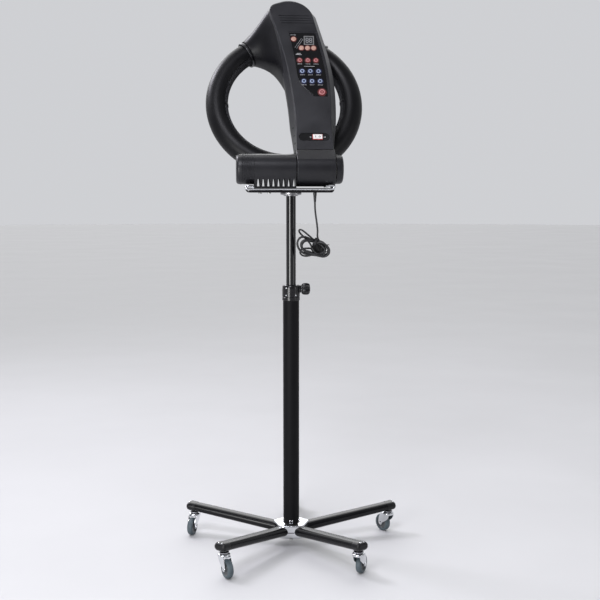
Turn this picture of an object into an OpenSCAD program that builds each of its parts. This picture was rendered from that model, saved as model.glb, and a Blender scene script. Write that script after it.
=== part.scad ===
// Ring-type infrared hair processor on a five-star castor stand.
// Origin: on the floor under the column. +Z up, +Y towards the seated client, -Y towards the operator.
// The head (arm, saddle and heating ring) is drawn in its own frame: x along the hinge, z up the arm,
// y away from the operator, leaned forward about the hinge axis by head_lean.

/* [Base] */
// Distance from the column axis to the tip of each leg
leg_reach = 325; // [290:1:360]
// Width of the flat-oval leg tube
leg_w = 38; // [32:1:44]
// Height of the flat-oval leg tube
leg_h = 25; // [22:1:28]
// Height of the leg's middle above the floor where it leaves the hub
leg_root_z = 47; // [44:0.5:50]
// Upward slope of each leg, in degrees
leg_slope = 7.3; // [6:0.1:8.5]
// Direction of the leg that points at the client
leg_turn = 85.8; // [60:0.1:110]
// Length of the moulded cap on each leg tip
leg_cap_len = 14; // [8:1:20]
// Distance from the flats of the five-sided hub to its axis
hub_apothem = 45; // [44.5:0.5:52]
// Height of the underside of the hub
hub_bottom_z = 26; // [22:1:28]
// Height of the top of the hub
hub_top_z = 69; // [66:1:76]
// Radius of the hub bolts
hub_bolt_r = 3; // [2.5:0.5:4]

/* [Castors] */
// Radius of the castor wheels
wheel_r = 25; // [22:0.5:25.5]
// Width of the castor wheels
wheel_w = 16; // [12:1:20]
// How far the wheel axle trails behind the swivel axis
castor_trail = 20; // [16:1:24]
// Distance of each castor stem in from the end of its leg
castor_inset = 25; // [17:1:40]
// Radius of the castor stems
stem_r = 5.5; // [4:0.5:6.5]
// Radius of the wheel axles
axle_r = 3; // [2:0.5:4]
// Radius of the swivel crown of each fork
crown_r = 17; // [15:0.5:19]
// Thickness of the pressed fork cheeks
cheek_t = 2.5; // [1.5:0.5:3]

/* [Column] */
// Outer radius of the fixed column tube
tube_r = 22.5; // [20:0.5:26]
// Wall of the fixed column tube
tube_wall = 2; // [1.5:0.5:3]
// Height of the top end of the fixed column tube
tube_top = 722; // [690:1:740]
// Outer radius of the sliding mast
mast_r = 13.5; // [11:0.5:15]
// Wall of the sliding mast
mast_wall = 2; // [1.5:0.5:3]
// Height of the lower end of the mast
mast_bottom = 440; // [420:1:520]
// Outer radius of the clamp collar
collar_r = 27; // [26:0.5:32]
// How far the clamp collar reaches above the fixed tube
collar_above = 22; // [16:1:30]
// How far the clamp collar reaches down over the fixed tube
collar_below = 22; // [16:1:30]
// Radius of the clamp knob over its lobes
knob_r = 17; // [14:0.5:20]
// Length of the clamp knob
knob_len = 24; // [18:1:30]

/* [Mounting bracket] */
// Length of the bracket tray
bracket_len = 249; // [240:1:260]
// Depth of the bracket tray, front to back
bracket_w = 66; // [60:1:72]
// Sheet thickness of the bracket
bracket_t = 3; // [2:0.5:4]
// Height of the bracket's front and back walls
bracket_h = 14; // [10:0.5:15]
// Height of the bracket's turned-up left end
bracket_left_h = 21; // [16:0.5:21.5]
// Height of the bracket's turned-up right end, under the arm's sleeve
bracket_right_h = 15; // [12:0.5:15.5]
// Radius of the flange that joins mast and bracket
flange_r = 29; // [26:0.5:34]
// Thickness of that flange
flange_t = 9.3; // [7:0.1:12]

/* [Hinge barrel] */
// Height of the hinge axis
hinge_z = 1063; // [1058:1:1080]
// Sideways place of the barrel's middle, from the column axis
barrel_mid = -4; // [-10:1:4]
// Overall length of the barrel
barrel_len = 294; // [285:1:305]
// Outer radius of the barrel
barrel_r = 41.5; // [40:0.5:43]
// Wall of the barrel housing
barrel_wall = 3.5; // [2.5:0.5:5]
// Length of the grooved left cap
cap_left_len = 49; // [44:1:56]
// Length of the right cap
cap_right_len = 20; // [16:1:26]
// Radius of the hinge shaft
shaft_r = 10; // [7:0.5:12]
// Thickness of the friction washers beside the arm's sleeve
washer_t = 1; // [0.8:0.1:2]
// Number of vent slots in the barrel's plinth
vents = 8; // [5:1:8]
// Spacing of the vent slots
vent_pitch = 14; // [13:0.5:14.5]
// Width of a vent slot at its foot
vent_w = 9; // [7:0.5:10]

/* [Arm] */
// Outer radius of the sleeve at the foot of the arm
sleeve_r = 47.5; // [45:0.5:48]
// Length of that sleeve along the hinge
sleeve_len = 107.5; // [100:0.5:112]
// Forward lean of the head from the vertical, in degrees
head_lean = 24.5; // [0:0.5:40]
// Height of the arm's foot above the hinge axis, along the arm
arm_foot = 46.5; // [46:0.5:56]
// Half of the arm's width at its foot
arm_half = 51.5; // [46:0.5:53]
// How much further the arm's right side stands out beside the control panel
arm_bulge = 14; // [8:0.5:16]
// How much wider each side of the arm is at its top
arm_flare = 6; // [3:0.5:8]
// Radius of the arm's sideways sweep
arm_sweep = 1165; // [1000:5:1500]
// Where along the arm the sweep starts
sweep_start = 110; // [80:1:140]
// Height of the crown of the arm's domed top, along the arm
arm_top = 525; // [520:1:538]
// Depth of the front cover, from the operator's face to the joint line
front_d = 32; // [28:1:36]
// Depth of the rear cover behind the joint line
rear_d = 32; // [28:1:36]
// Wall of the moulded covers
cover_wall = 2.5; // [2:0.1:3.5]
// Thickness of the front cover's face
face_t = 3.5; // [3:0.1:4.5]

/* [Heating ring] */
// Radius of the ring's centre circle
ring_r = 194.5; // [185:0.5:205]
// Radius of the ring's tube
ring_tube = 33; // [30:0.5:34]
// Distance of the ring's centre from the hinge axis, along the arm
ring_up = 245; // [243:1:260]
// Distance of the ring's plane behind the hinge axis
ring_back = 78; // [77:0.5:86]
// Sideways place of the ring's centre, from the column axis
ring_x = -6.5; // [-12:0.5:0]
// Wall of the ring's shells
ring_wall = 2.5; // [2:0.1:3.5]
// Half of the angle that the inner grille covers round the ring's tube
grille_half = 50; // [35:1:60]
// Angle from the ring's top to each end of the saddle
saddle_half = 34; // [28:0.5:38]
// Wall of the saddle round the ring
saddle_wall = 5; // [4:0.5:6]
// Width of the trim bush at each mouth of the saddle
trim_w = 6; // [4:0.5:9]
// Radius of the drive roller
roller_r = 12; // [9:0.5:13]
// Radius of the drive motor
motor_r = 17; // [14:0.5:18]

/* [Control panel] */
// Height of the panel's top edge, along the arm
panel_top = 416; // [405:1:425]
// Height of the panel's lower edge, along the arm
panel_foot = 211; // [204:1:216]
// Gap between the panel's right edge and the arm's right edge
panel_margin = 10; // [7:0.5:12]
// Thickness of the glossy panel
panel_t = 2; // [1.5:0.1:2.5]
// Radius of the small keys
key_r = 7; // [5.5:0.1:7.5]
// Radius of the large stop key
stop_key_r = 10.5; // [8:0.5:11]
// Spacing of the keys in a row
key_pitch = 23; // [20:0.5:24]
// How far the keys stand proud of the panel
key_proud = 2; // [1:0.1:3]
// How far a key travels
key_travel = 1; // [0.5:0.1:1.2]
// Side of the square display
display_w = 29; // [24:0.5:30]
// Length of the slide switch's well
well_len = 87; // [80:1:90]
// Height of the slide switch's well
well_h = 25; // [20:0.5:28]
// Length of the slide switch's button
slider_len = 29; // [24:0.5:32]

/* [Cord] */
// Diameter of the mains cord
cord_d = 5; // [4:0.1:7]

/* [Hidden] */
$fn = 64;
run_fit = 0.05;    // radial clearance of a running fit
move_gap = 0.3;    // gap between pieces that move past each other
slip_gap = 0.2;    // clearance round a piece that is clamped or dropped in

LEGS = 5;
// Trailing direction of each castor wheel, in degrees, in the order of the legs
CASTOR_TURN = [85.8, -110, -65, 60, 125];
function leg_angle(i) = leg_turn + 72 * i;
leg_in = max(tube_r + 1.5, leg_w / 2 / tan(180 / LEGS) + 1); // inner end of each leg
leg_root_r = 45;                                         // where leg_root_z is measured
function leg_mid_z(r) = leg_root_z + (r - leg_root_r) * tan(leg_slope);
castor_reach = leg_reach - castor_inset;                 // from the column to each castor stem
leg_under = leg_mid_z(castor_reach) - leg_h / 2 / cos(leg_slope);
hub_part_z = leg_root_z - 2.5;                           // joint line of the two hub halves
hub_bolt_reach = hub_apothem - 7;
hub_floor = 4;                                           // closed bottom of the hub
tube_foot = hub_bottom_z + hub_floor;

crown_z = 2 * wheel_r + 2.5;                             // underside of the fork crown
crown_top = crown_z + 9.5;
stem_foot = crown_z - 2;
cheek_in = wheel_w / 2 + 1;

collar_top = tube_top + collar_above;
knob_z = tube_top + 10;
knob_in = collar_r + 2;                                  // inner face of the knob
screw_r = 4;

bush_len = 22;                                           // the mast's two guide bushes
bush_pitch = 100;
tray_top = hinge_z - sleeve_r - 2.5;                     // top of the bracket's walls
tray_z = tray_top - bracket_h;                           // underside of the bracket
tray_floor = tray_z + bracket_t;
flange_z = tray_z - flange_t;

barrel_x0 = barrel_mid - barrel_len / 2;                 // left end of the barrel
barrel_x1 = barrel_mid + barrel_len / 2;
cap_left_x = barrel_x0 + cap_left_len;
cap_right_x = barrel_x1 - cap_right_len;
sleeve_x1 = cap_right_x - washer_t - slip_gap;
sleeve_x0 = sleeve_x1 - sleeve_len;
housing_x1 = sleeve_x0 - washer_t - slip_gap;
housing_end = 6;                                         // end wall of the housing
plinth_w = bracket_w - 2 * bracket_t - 1;
vent_top = hinge_z - 24;
vent_foot = tray_top + 3;
shaft_x0 = cap_left_x - 20;
shaft_x1 = cap_right_x + cap_right_len - 5;

arm_x = (sleeve_x0 + sleeve_x1) / 2 - 1;                 // arm's middle at its foot
function arm_mid(v) = arm_x - (v > sweep_start ? pow(v - sweep_start, 2) / 2 / arm_sweep : 0);
function arm_hw(v) = arm_half + arm_flare * (v - arm_foot) / (arm_top - arm_foot);
bulge_full = 320;                                        // where the right side stands out in full
function ease(t) = t * t * (3 - 2 * t);
function arm_right(v, bulge) = arm_mid(v) + arm_hw(v)
    + bulge * ease(min(1, (v - arm_foot) / (bulge_full - arm_foot)));
face_n = -(front_d - 2);                                 // operator's face of the arm
split_n = 2;                                             // joint line of the two covers
rear_n = split_n + rear_d;

dome_rise = 25;                                          // crown of the dome above its centre
dome_v = arm_top - dome_rise;                            // where the domed top is centred
dome_tilt = asin((dome_v - sweep_start) / arm_sweep) * 0.92;
dome_hw = arm_half + arm_flare - 1;
dome_left_r = 26;
dome_right_r = 75;
function dome_pt(s, t) = [
    arm_mid(dome_v) + s * cos(dome_tilt) - t * sin(dome_tilt),
    dome_v + s * sin(dome_tilt) + t * cos(dome_tilt)
];
// Outline of the arm seen from the operator's side, moved in by inset, from height v0 up
function arm_outline(inset, v0, bulge = arm_bulge) = concat(
    [for (i = [0:14]) let (v = v0 + (dome_v - 70 - v0) * i / 14) [arm_right(v, bulge) - inset, v]],
    [for (a = [0:9:90]) dome_pt(dome_hw + bulge - dome_right_r + (dome_right_r - inset) * cos(a),
                                dome_rise - dome_right_r + (dome_right_r - inset) * sin(a))],
    [for (a = [90:15:180]) dome_pt(dome_left_r - dome_hw + 4 + (dome_left_r - inset) * cos(a),
                                   dome_rise - dome_left_r + (dome_left_r - inset) * sin(a))],
    [for (i = [14:-1:0]) let (v = v0 + (dome_v - 36 - v0) * i / 14) [arm_mid(v) - arm_hw(v) + inset, v]]
);

tunnel_r = ring_tube + 2 * move_gap;
saddle_r = tunnel_r + saddle_wall;
saddle_a0 = 90 - saddle_half;
saddle_a1 = 90 + saddle_half - 1.5;
function ring_pt(r, a) = [ring_x + r * cos(a), ring_up + r * sin(a)];
roller_v = ring_up + ring_r + ring_tube + roller_r + move_gap;
roller_w = 20;
motor_n0 = split_n + 4;
motor_n1 = ring_back - 38;
dome_back = ring_back + roller_w / 2 + 4;                // back of the drive housing
dome_inset = 3;                                          // how far it lies inside the arm's outline
dome_foot = 395;                                         // where it starts, along the arm

panel_left_top = 35;                                     // panel's left margin at its top
panel_left_low = 24;                                     // and at the top of its cut corner
panel_cut_v = panel_foot + 56;                           // where the cut corner starts
function panel_right(v) = arm_right(v, arm_bulge) - panel_margin;
function panel_left(v) = arm_mid(v) - arm_hw(v) + panel_left_low
    + (panel_left_top - panel_left_low) * (v - panel_cut_v) / (panel_top - panel_cut_v);
function panel_outline(inset) = concat(
    [for (i = [0:10]) let (v = panel_foot + inset + (panel_top - panel_foot - 2 * inset) * i / 10)
        [panel_right(v) - inset, v]],
    [for (i = [10:-1:0]) let (v = panel_cut_v + (panel_top - panel_cut_v - inset) * i / 10)
        [panel_left(v) + inset, v]],
    [[panel_left(panel_cut_v) + 10 + inset, panel_cut_v - 19],
     [panel_left(panel_cut_v) + 44 + inset, panel_foot + inset]]
);

// Keys: sideways place from the arm's middle, height along the arm, radius
row_mid = 9;                                             // middle key of a row, from the arm's middle
KEY_ROUND = [[-14, 395, key_r]];
KEY_TIME = [for (i = [-1:1]) [18 + i * 17.5, 366, key_r]];
KEY_PROGRAM = [for (i = [-1:1]) [row_mid + i * key_pitch, 325.5, key_r]];
KEY_HEAT = [for (i = [-1:1]) [row_mid + i * key_pitch, 290.5, key_r]];
KEY_ZONE = [for (i = [-1:1]) [row_mid - 1 + i * key_pitch, 258.5, key_r]];
KEY_STOP = [[31, 224, stop_key_r]];
KEYS = concat(KEY_ROUND, KEY_TIME, KEY_PROGRAM, KEY_HEAT, KEY_ZONE, KEY_STOP);
function key_at(k) = [arm_mid(k[1]) + k[0], k[1]];
board_n = face_n + 11;                                   // front of the circuit board
board_t = 1.6;
louvre_len = 96;
louvre_x = 14;                                           // middle of the louvres, from the arm's middle
POSTS = [[-24, 405], [49, 380], [-24, 308], [42, 240]];  // board posts, from the arm's middle
display_v = 391;                                         // height of the display up the arm
display_at = [arm_mid(display_v) + 28.5, display_v];
well_at = [arm_x - 2, 84];
well_depth = 2;
slider_h = 16;
slider_travel = 12;
slider_x = well_at[0] + 6;

relief_at = [64, -26];
relief_len = 26;
hank_front = -74;
hank_back = -44;
// Outline of the tied hank, seen from the operator's side
HANK = [[20, 902], [34, 902], [58, 882], [62, 874], [78, 874], [92, 868], [101, 856], [104, 838], [98, 825],
        [84, 822], [62, 822], [42, 827], [24, 841], [12, 858], [12, 876], [16, 892]];
// Route of the free stretch of cord, from the strain relief to the hank
CORD = [[64, -26, 973], [64, -26, 964], [64.3, -26.5, 955], [65, -28, 946], [66, -31, 936], [67, -35, 926],
        [68, -40, 916], [68.6, -45, 907], [69, -50, 898], [69, -54, 890], [69, -56, 882], [69, -56, 874]];
// The flat two-pin plug lies against the back of the hank, its cord end to the left
plug_wide = 36;
plug_thick = 14;
plug_body = 25;
plug_neck = 7;
pin_r = 2;
pin_len = 19;
pin_gap = 19;
plug_lift = 847;
PLUG = [52, hank_back + plug_thick / 2 + 0.4, plug_lift];

steel = [0.72, 0.73, 0.75];
satin_black = [0.12, 0.12, 0.13];
charcoal = [0.23, 0.23, 0.25];
gloss_black = [0.04, 0.04, 0.05];

// ---------- frames and shared shapes ----------

// The head's own frame, leaned forward about the hinge axis
module head_frame() {
    translate([0, 0, hinge_z]) rotate([-head_lean, 0, 0]) children();
}

// A flat shape in the arm's face plane, given depth from n0 to n1
module slab(n0, n1) {
    translate([0, n1, 0]) rotate([90, 0, 0]) linear_extrude(n1 - n0) children();
}

// A round bar or hole square to the arm's face
module bar(p, r, n0, n1) {
    translate([p[0], n1, p[1]]) rotate([90, 0, 0]) cylinder(r = r, h = n1 - n0);
}

// A stretch of the ring's path, from angle a0 to a1, with a section drawn round the tube's middle
module along_ring(a0 = 0, a1 = 360) {
    translate([ring_x, ring_back, ring_up]) rotate([90, 0, 0]) rotate([0, 0, a0])
        rotate_extrude(angle = a1 - a0, $fn = 120) translate([ring_r, 0]) children();
}

// A cylinder along the hinge
module hinge_cyl(x0, x1, r) {
    translate([x0, 0, hinge_z]) rotate([0, 90, 0]) cylinder(r = r, h = x1 - x0);
}

module stadium(len, h) {
    translate([-(len - h) / 2, 0]) circle(d = h);
    translate([(len - h) / 2, 0]) circle(d = h);
    square([len - h, h], center = true);
}

// ---------- base ----------

// A bar of the leg's section, grown all round, from radius r0 to r1 along leg i
module leg_bar(i, r0, r1, grow = 0) {
    rotate([0, 0, leg_angle(i)]) translate([0, 0, leg_mid_z(0)]) rotate([0, -leg_slope, 0])
        translate([r0 / cos(leg_slope), 0, 0]) rotate([90, 0, 90])
            linear_extrude((r1 - r0) / cos(leg_slope)) stadium(leg_w + 2 * grow, leg_h + 2 * grow);
}

module hub_half(z0, z1) {
    rotate([0, 0, leg_turn]) intersection() {
        translate([0, 0, z0]) cylinder(r = hub_apothem / cos(36), h = z1 - z0, $fn = 5);
        translate([0, 0, z0]) cylinder(r = hub_apothem + 5, h = z1 - z0);
    }
}

module hub_cuts() {
    translate([0, 0, tube_foot]) cylinder(r = tube_r, h = hub_top_z);
    for (i = [0:LEGS - 1]) {
        leg_bar(i, leg_in - 0.5, hub_apothem + 20, slip_gap);
        rotate([0, 0, leg_angle(i) + 36]) translate([hub_bolt_reach, 0, hub_bottom_z - 1])
            cylinder(r = hub_bolt_r, h = hub_top_z - hub_bottom_z - 5);
    }
}

module hub_top() {
    color(steel) difference() {
        hub_half(hub_part_z, hub_top_z);
        hub_cuts();
    }
}

module hub_bottom() {
    color(steel) difference() {
        hub_half(hub_bottom_z, hub_part_z);
        hub_cuts();
    }
}

module hub_bolts() {
    color(steel) for (i = [0:LEGS - 1])
        rotate([0, 0, leg_angle(i) + 36]) translate([hub_bolt_reach, 0, hub_bottom_z]) {
            translate([0, 0, -3.5]) cylinder(r = hub_bolt_r + 2.5, h = 3.5);
            cylinder(r = hub_bolt_r, h = hub_top_z - hub_bottom_z - 8);
        }
}

module base_legs() {
    color(gloss_black) for (i = [0:LEGS - 1]) difference() {
        leg_bar(i, leg_in, leg_reach - leg_cap_len);
        leg_bar(i, leg_in - 1, castor_reach - 22, -2.5);
        rotate([0, 0, leg_angle(i)]) translate([castor_reach, 0, leg_under - 2])
            cylinder(r = stem_r, h = leg_h - 4);
    }
}

module leg_caps() {
    color(satin_black) for (i = [0:LEGS - 1]) rotate([0, 0, leg_angle(i)]) intersection() {
        rotate([0, 0, -leg_angle(i)]) leg_bar(i, leg_reach - leg_cap_len, leg_reach);
        translate([leg_reach - leg_w / 2 - 2, 0, leg_under - 10]) cylinder(r = leg_w / 2 + 2, h = leg_h + 40);
    }
}

module castor_stems() {
    color(steel) for (i = [0:LEGS - 1]) rotate([0, 0, leg_angle(i)]) translate([castor_reach, 0, 0]) {
        translate([0, 0, stem_foot]) cylinder(r = stem_r, h = leg_under + leg_h - 8 - stem_foot);
        translate([0, 0, stem_foot]) cylinder(r = stem_r + 2.5, h = crown_z - stem_foot - move_gap);
        difference() {
            translate([0, 0, crown_top + move_gap]) cylinder(r = stem_r + 3.5, h = leg_h);
            rotate([0, 0, -leg_angle(i)]) translate([-castor_reach * cos(leg_angle(i)),
                -castor_reach * sin(leg_angle(i)), 0]) leg_bar(i, leg_in, leg_reach);
            translate([-20, -20, leg_under + 4]) cube([40, 40, 60]);
        }
    }
}

// Moves to the swivel axis of castor i, with the wheel trailing along +X
module at_castor(i) {
    rotate([0, 0, leg_angle(i)]) translate([castor_reach, 0, 0])
        rotate([0, 0, CASTOR_TURN[i] - leg_angle(i)]) children();
}

module castor_fork(i) {
    color(steel) at_castor(i) difference() {
        union() {
            translate([0, 0, crown_z]) cylinder(r = crown_r - 2, h = crown_top - crown_z);
            translate([0, 0, crown_z]) cylinder(r = crown_r, h = crown_top - crown_z - 4);
            for (s = [-1, 1]) translate([0, s * (cheek_in + cheek_t / 2) + cheek_t / 2, 0]) rotate([90, 0, 0])
                linear_extrude(cheek_t) {
                    polygon([[-crown_r + 6, crown_z + 4], [crown_r + 4, crown_z + 4],
                             [castor_trail + 6, wheel_r], [castor_trail - 6, wheel_r - 1]]);
                    translate([castor_trail, wheel_r]) circle(r = 6);
                }
            translate([castor_trail, cheek_in + cheek_t + 1.5, wheel_r]) rotate([90, 0, 0])
                cylinder(r = axle_r, h = 2 * (cheek_in + cheek_t + 1.5));
        }
        translate([0, 0, crown_z - 1]) cylinder(r = stem_r + run_fit, h = 20);
    }
}

module castor_wheel(i) {
    color([0.33, 0.38, 0.42]) at_castor(i) translate([castor_trail, 0, wheel_r]) rotate([90, 0, 0])
        rotate_extrude() polygon([[axle_r + run_fit, -wheel_w / 2], [wheel_r * 0.72, -wheel_w / 2],
            [wheel_r - 3, -wheel_w / 2 + 0.5], [wheel_r, -wheel_w / 2 + 4], [wheel_r, wheel_w / 2 - 4],
            [wheel_r - 3, wheel_w / 2 - 0.5], [wheel_r * 0.72, wheel_w / 2], [axle_r + run_fit, wheel_w / 2]]);
}

// ---------- column ----------

module column_tube() {
    color(satin_black) translate([0, 0, tube_foot]) difference() {
        cylinder(r = tube_r, h = tube_top - tube_foot);
        translate([0, 0, -1]) cylinder(r = tube_r - tube_wall, h = tube_top);
    }
}

module mast_bushes() {
    color([0.85, 0.85, 0.82]) for (z = [bush_len, bush_len + bush_pitch]) translate([0, 0, tube_top - z]) difference() {
        cylinder(r = tube_r - tube_wall, h = bush_len);
        translate([0, 0, -1]) cylinder(r = mast_r + run_fit, h = bush_len + 2);
    }
}

module clamp_collar() {
    color(gloss_black) difference() {
        union() {
            translate([0, 0, tube_top - collar_below]) cylinder(r = collar_r, h = collar_above + collar_below);
            translate([0, 0, knob_z]) rotate([0, 90, 0]) cylinder(r = 11, h = knob_in - 0.5);
        }
        translate([0, 0, tube_top - collar_below - 1]) cylinder(r = tube_r, h = collar_below + 1);
        cylinder(r = mast_r + move_gap, h = collar_top + 1);
        translate([0, 0, knob_z]) rotate([0, 90, 0]) cylinder(r = screw_r + run_fit, h = knob_in + 5);
    }
}

module clamp_knob() {
    color(satin_black) translate([0, 0, knob_z]) rotate([0, 90, 0]) {
        translate([0, 0, mast_r + move_gap]) cylinder(r = screw_r, h = knob_in - mast_r);
        translate([0, 0, knob_in]) difference() {
            cylinder(r = knob_r, h = knob_len);
            for (a = [0:60:300]) rotate([0, 0, a + 30]) translate([knob_r + 3, 0, 3])
                cylinder(r = 5.5, h = knob_len);
        }
    }
}

module mast() {
    color(gloss_black) translate([0, 0, mast_bottom]) difference() {
        cylinder(r = mast_r, h = tray_z - move_gap - mast_bottom);
        translate([0, 0, -1]) cylinder(r = mast_r - mast_wall, h = tray_z);
    }
}

// ---------- bracket and hinge barrel ----------

FLANGE_SCREWS = [45, 135, 225, 315];
flange_screw_r = 21;
PLINTH_SCREWS = [-85, -60];

module head_flange() {
    color(steel) translate([0, 0, flange_z]) difference() {
        cylinder(r = flange_r, h = flange_t);
        translate([0, 0, -1]) cylinder(r = mast_r + run_fit, h = flange_t + 2);
        for (a = FLANGE_SCREWS) rotate([0, 0, a]) translate([flange_screw_r, 0, 2]) cylinder(r = 2.5, h = flange_t);
    }
}

module bracket() {
    x0 = barrel_mid - bracket_len / 2;
    color(steel) difference() {
        union() {
            translate([x0 + 8, -bracket_w / 2, tray_z]) cube([bracket_len - 16, bracket_w, bracket_t]);
            for (s = [-1, 1]) translate([x0 + 8, s * (bracket_w - bracket_t) / 2 - bracket_t / 2, tray_z])
                cube([bracket_len - 16, bracket_t, bracket_h]);
            for (s = [-1, 1]) translate([barrel_mid + s * (bracket_len / 2 - 8), bracket_w / 2, tray_z + 8])
                rotate([90, 0, 0]) linear_extrude(bracket_w) bracket_end(s);
        }
        for (a = FLANGE_SCREWS) rotate([0, 0, a]) translate([flange_screw_r, 0, tray_z - 1])
            cylinder(r = 2.5, h = bracket_t + 2);
        for (x = PLINTH_SCREWS) translate([x, 0, tray_z - 1]) cylinder(r = 2.5, h = bracket_t + 2);
    }
}

// Rolled-up end of the tray, in side section
module bracket_end(s) {
    intersection() {
        difference() {
            circle(r = 8);
            circle(r = 8 - bracket_t);
        }
        translate([s > 0 ? 0 : -8, -8]) square([8, 8]);
    }
    translate([s > 0 ? 8 - bracket_t : -8, 0])
        square([bracket_t, (s > 0 ? bracket_right_h : bracket_left_h) - 8]);
}

module bracket_screws() {
    color(steel) {
        for (a = FLANGE_SCREWS) rotate([0, 0, a]) translate([flange_screw_r, 0, 0]) {
            translate([0, 0, flange_z + 2.5]) cylinder(r = 2.5, h = tray_floor - flange_z - 2.5);
            translate([0, 0, tray_floor]) cylinder(r = 4.5, h = 3.5);
        }
        for (x = PLINTH_SCREWS) translate([x, 0, 0]) {
            translate([0, 0, tray_z]) cylinder(r = 2.5, h = 12);
            translate([0, 0, tray_z - 3]) cylinder(r = 4.5, h = 3);
        }
    }
}

module barrel_housing() {
    color(charcoal) difference() {
        union() {
            hinge_cyl(cap_left_x, housing_x1, barrel_r);
            translate([cap_left_x + 2, -plinth_w / 2, tray_floor])
                cube([housing_x1 - cap_left_x - 2, plinth_w, hinge_z - 20 - tray_floor]);
        }
        hinge_cyl(cap_left_x - 1, housing_x1 - housing_end, barrel_r - barrel_wall);
        hinge_cyl(cap_left_x, housing_x1 + 1, shaft_r);
        for (i = [0:vents - 1]) translate([housing_x1 - vent_w / 2 - 1 - i * vent_pitch, barrel_r, 0])
            rotate([90, 0, 0]) linear_extrude(2 * barrel_r) vent_slot();
        for (a = FLANGE_SCREWS) rotate([0, 0, a]) translate([flange_screw_r, 0, tray_floor - 1])
            cylinder(r = 5, h = 5.5);
        for (x = PLINTH_SCREWS) translate([x, 0, tray_floor - 1]) cylinder(r = 2.5, h = 10.2);
    }
}

module vent_slot() {
    polygon([[-vent_w / 2, vent_foot], [vent_w / 2, vent_foot], [vent_w / 2 - 1.4, vent_top - 3],
             [-vent_w / 2 + 1.4, vent_top - 3]]);
    translate([0, vent_top - 3]) circle(r = vent_w / 2 - 1.4);
}

module barrel_cap_left() {
    grooves = 6;
    color(charcoal) difference() {
        translate([barrel_x0, 0, hinge_z]) rotate([0, 90, 0]) rotate_extrude() polygon(concat(
            [[0, 0], [barrel_r - 6, 0], [barrel_r - 1.5, 3], [barrel_r, 8]],
            [for (i = [0:grooves - 1]) for (p = [[0, 0], [-0.9, 0.4], [-0.9, 1.6], [0, 2]])
                [barrel_r + p[0], 16 + i * 4.8 + p[1]]],
            [[barrel_r, cap_left_len], [barrel_r - barrel_wall, cap_left_len], [barrel_r - barrel_wall, 5],
             [shaft_r + 5, 5], [shaft_r + 5, cap_left_len], [0, cap_left_len]]));
        hinge_cyl(shaft_x0, cap_left_x + 1, shaft_r);
    }
}

module barrel_cap_right() {
    color(charcoal) difference() {
        translate([cap_right_x, 0, hinge_z]) rotate([0, 90, 0]) rotate_extrude() polygon([
            [0, 0], [barrel_r - 1, 0], [barrel_r - 1, cap_right_len - 8], [barrel_r - 3, cap_right_len - 3],
            [barrel_r - 7, cap_right_len], [0, cap_right_len]]);
        hinge_cyl(cap_right_x - 1, shaft_x1, shaft_r);
    }
}

module hinge_shaft() {
    color(steel) difference() {
        hinge_cyl(shaft_x0, shaft_x1, shaft_r);
        hinge_cyl(shaft_x0 - 1, shaft_x1 + 1, shaft_r - 3);
    }
}

module friction_washers() {
    color([0.45, 0.3, 0.2]) for (x = [housing_x1, cap_right_x - washer_t]) difference() {
        hinge_cyl(x, x + washer_t, barrel_r - 8);
        hinge_cyl(x - 1, x + washer_t + 1, shaft_r);
    }
}

// ---------- mains cord ----------

module strain_relief() {
    color(gloss_black) translate([relief_at[0], relief_at[1], tray_z - relief_len]) {
        cylinder(r1 = cord_d / 2 + 1, r2 = cord_d / 2 + 2.8, h = relief_len - 5);
        translate([0, 0, relief_len - 5]) cylinder(r = cord_d / 2 + 5, h = 5);
    }
}

// A tube along the points, with flat ends square to its first and last stretch
module tube_along(pts, r, sides = 8) {
    last = len(pts) - 1;
    function dir(i) = let (a = pts[max(i - 1, 0)], b = pts[min(i + 1, last)]) (b - a) / norm(b - a);
    function side(t) = let (c = cross(t, [0, 1, 0])) c / norm(c);
    rings = [for (i = [0:last]) let (t = dir(i), u = side(t), w = cross(t, u))
        for (k = [0:sides - 1]) pts[i] + r * (cos(k * 360 / sides) * u + sin(k * 360 / sides) * w)];
    walls = [for (i = [0:last - 1]) for (k = [0:sides - 1])
        [i * sides + k, i * sides + (k + 1) % sides, (i + 1) * sides + (k + 1) % sides, (i + 1) * sides + k]];
    polyhedron(rings, concat(walls, [[for (k = [sides - 1:-1:0]) k]], [[for (k = [0:sides - 1]) last * sides + k]]));
}

module cord_run() {
    color(gloss_black) tube_along(CORD, cord_d / 2);
}

module cord_hank() {
    color(gloss_black) translate([0, hank_back, 0]) rotate([90, 0, 0])
        linear_extrude(hank_back - hank_front) polygon(HANK);
}

module mains_plug() {
    color(gloss_black) translate(PLUG) {
        rotate([0, 90, 0]) cylinder(r1 = cord_d, r2 = plug_thick / 2, h = plug_neck);
        translate([plug_neck, -plug_thick / 2, -plug_wide / 2]) cube([plug_body, plug_thick, plug_wide]);
        for (s = [-1, 1]) translate([plug_neck + plug_body, 0, s * pin_gap / 2])
            rotate([0, 90, 0]) cylinder(r = pin_r, h = pin_len);
    }
}

// ---------- arm ----------

module arm_sleeve() {
    block_foot = 20;
    color(charcoal) difference() {
        union() {
            hinge_cyl(sleeve_x0, sleeve_x1, sleeve_r);
            head_frame() slab(face_n, rear_n) translate([arm_x - arm_half, 0]) square([2 * arm_half, arm_foot]);
        }
        hinge_cyl(sleeve_x0 + 6, sleeve_x1 - 6, sleeve_r - 4);
        hinge_cyl(sleeve_x0 - 1, sleeve_x1 + 1, shaft_r + run_fit);
        head_frame() slab(face_n + 4, rear_n - 4) translate([arm_x - arm_half + 6, block_foot])
            square([2 * arm_half - 12, arm_foot]);
        // the barrel is cut flat where the arm's covers sit on it
        head_frame() slab(-sleeve_r, sleeve_r) translate([sleeve_x0 - 1, arm_foot])
            square([sleeve_x1 - sleeve_x0 + 2, sleeve_r]);
    }
}

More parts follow.
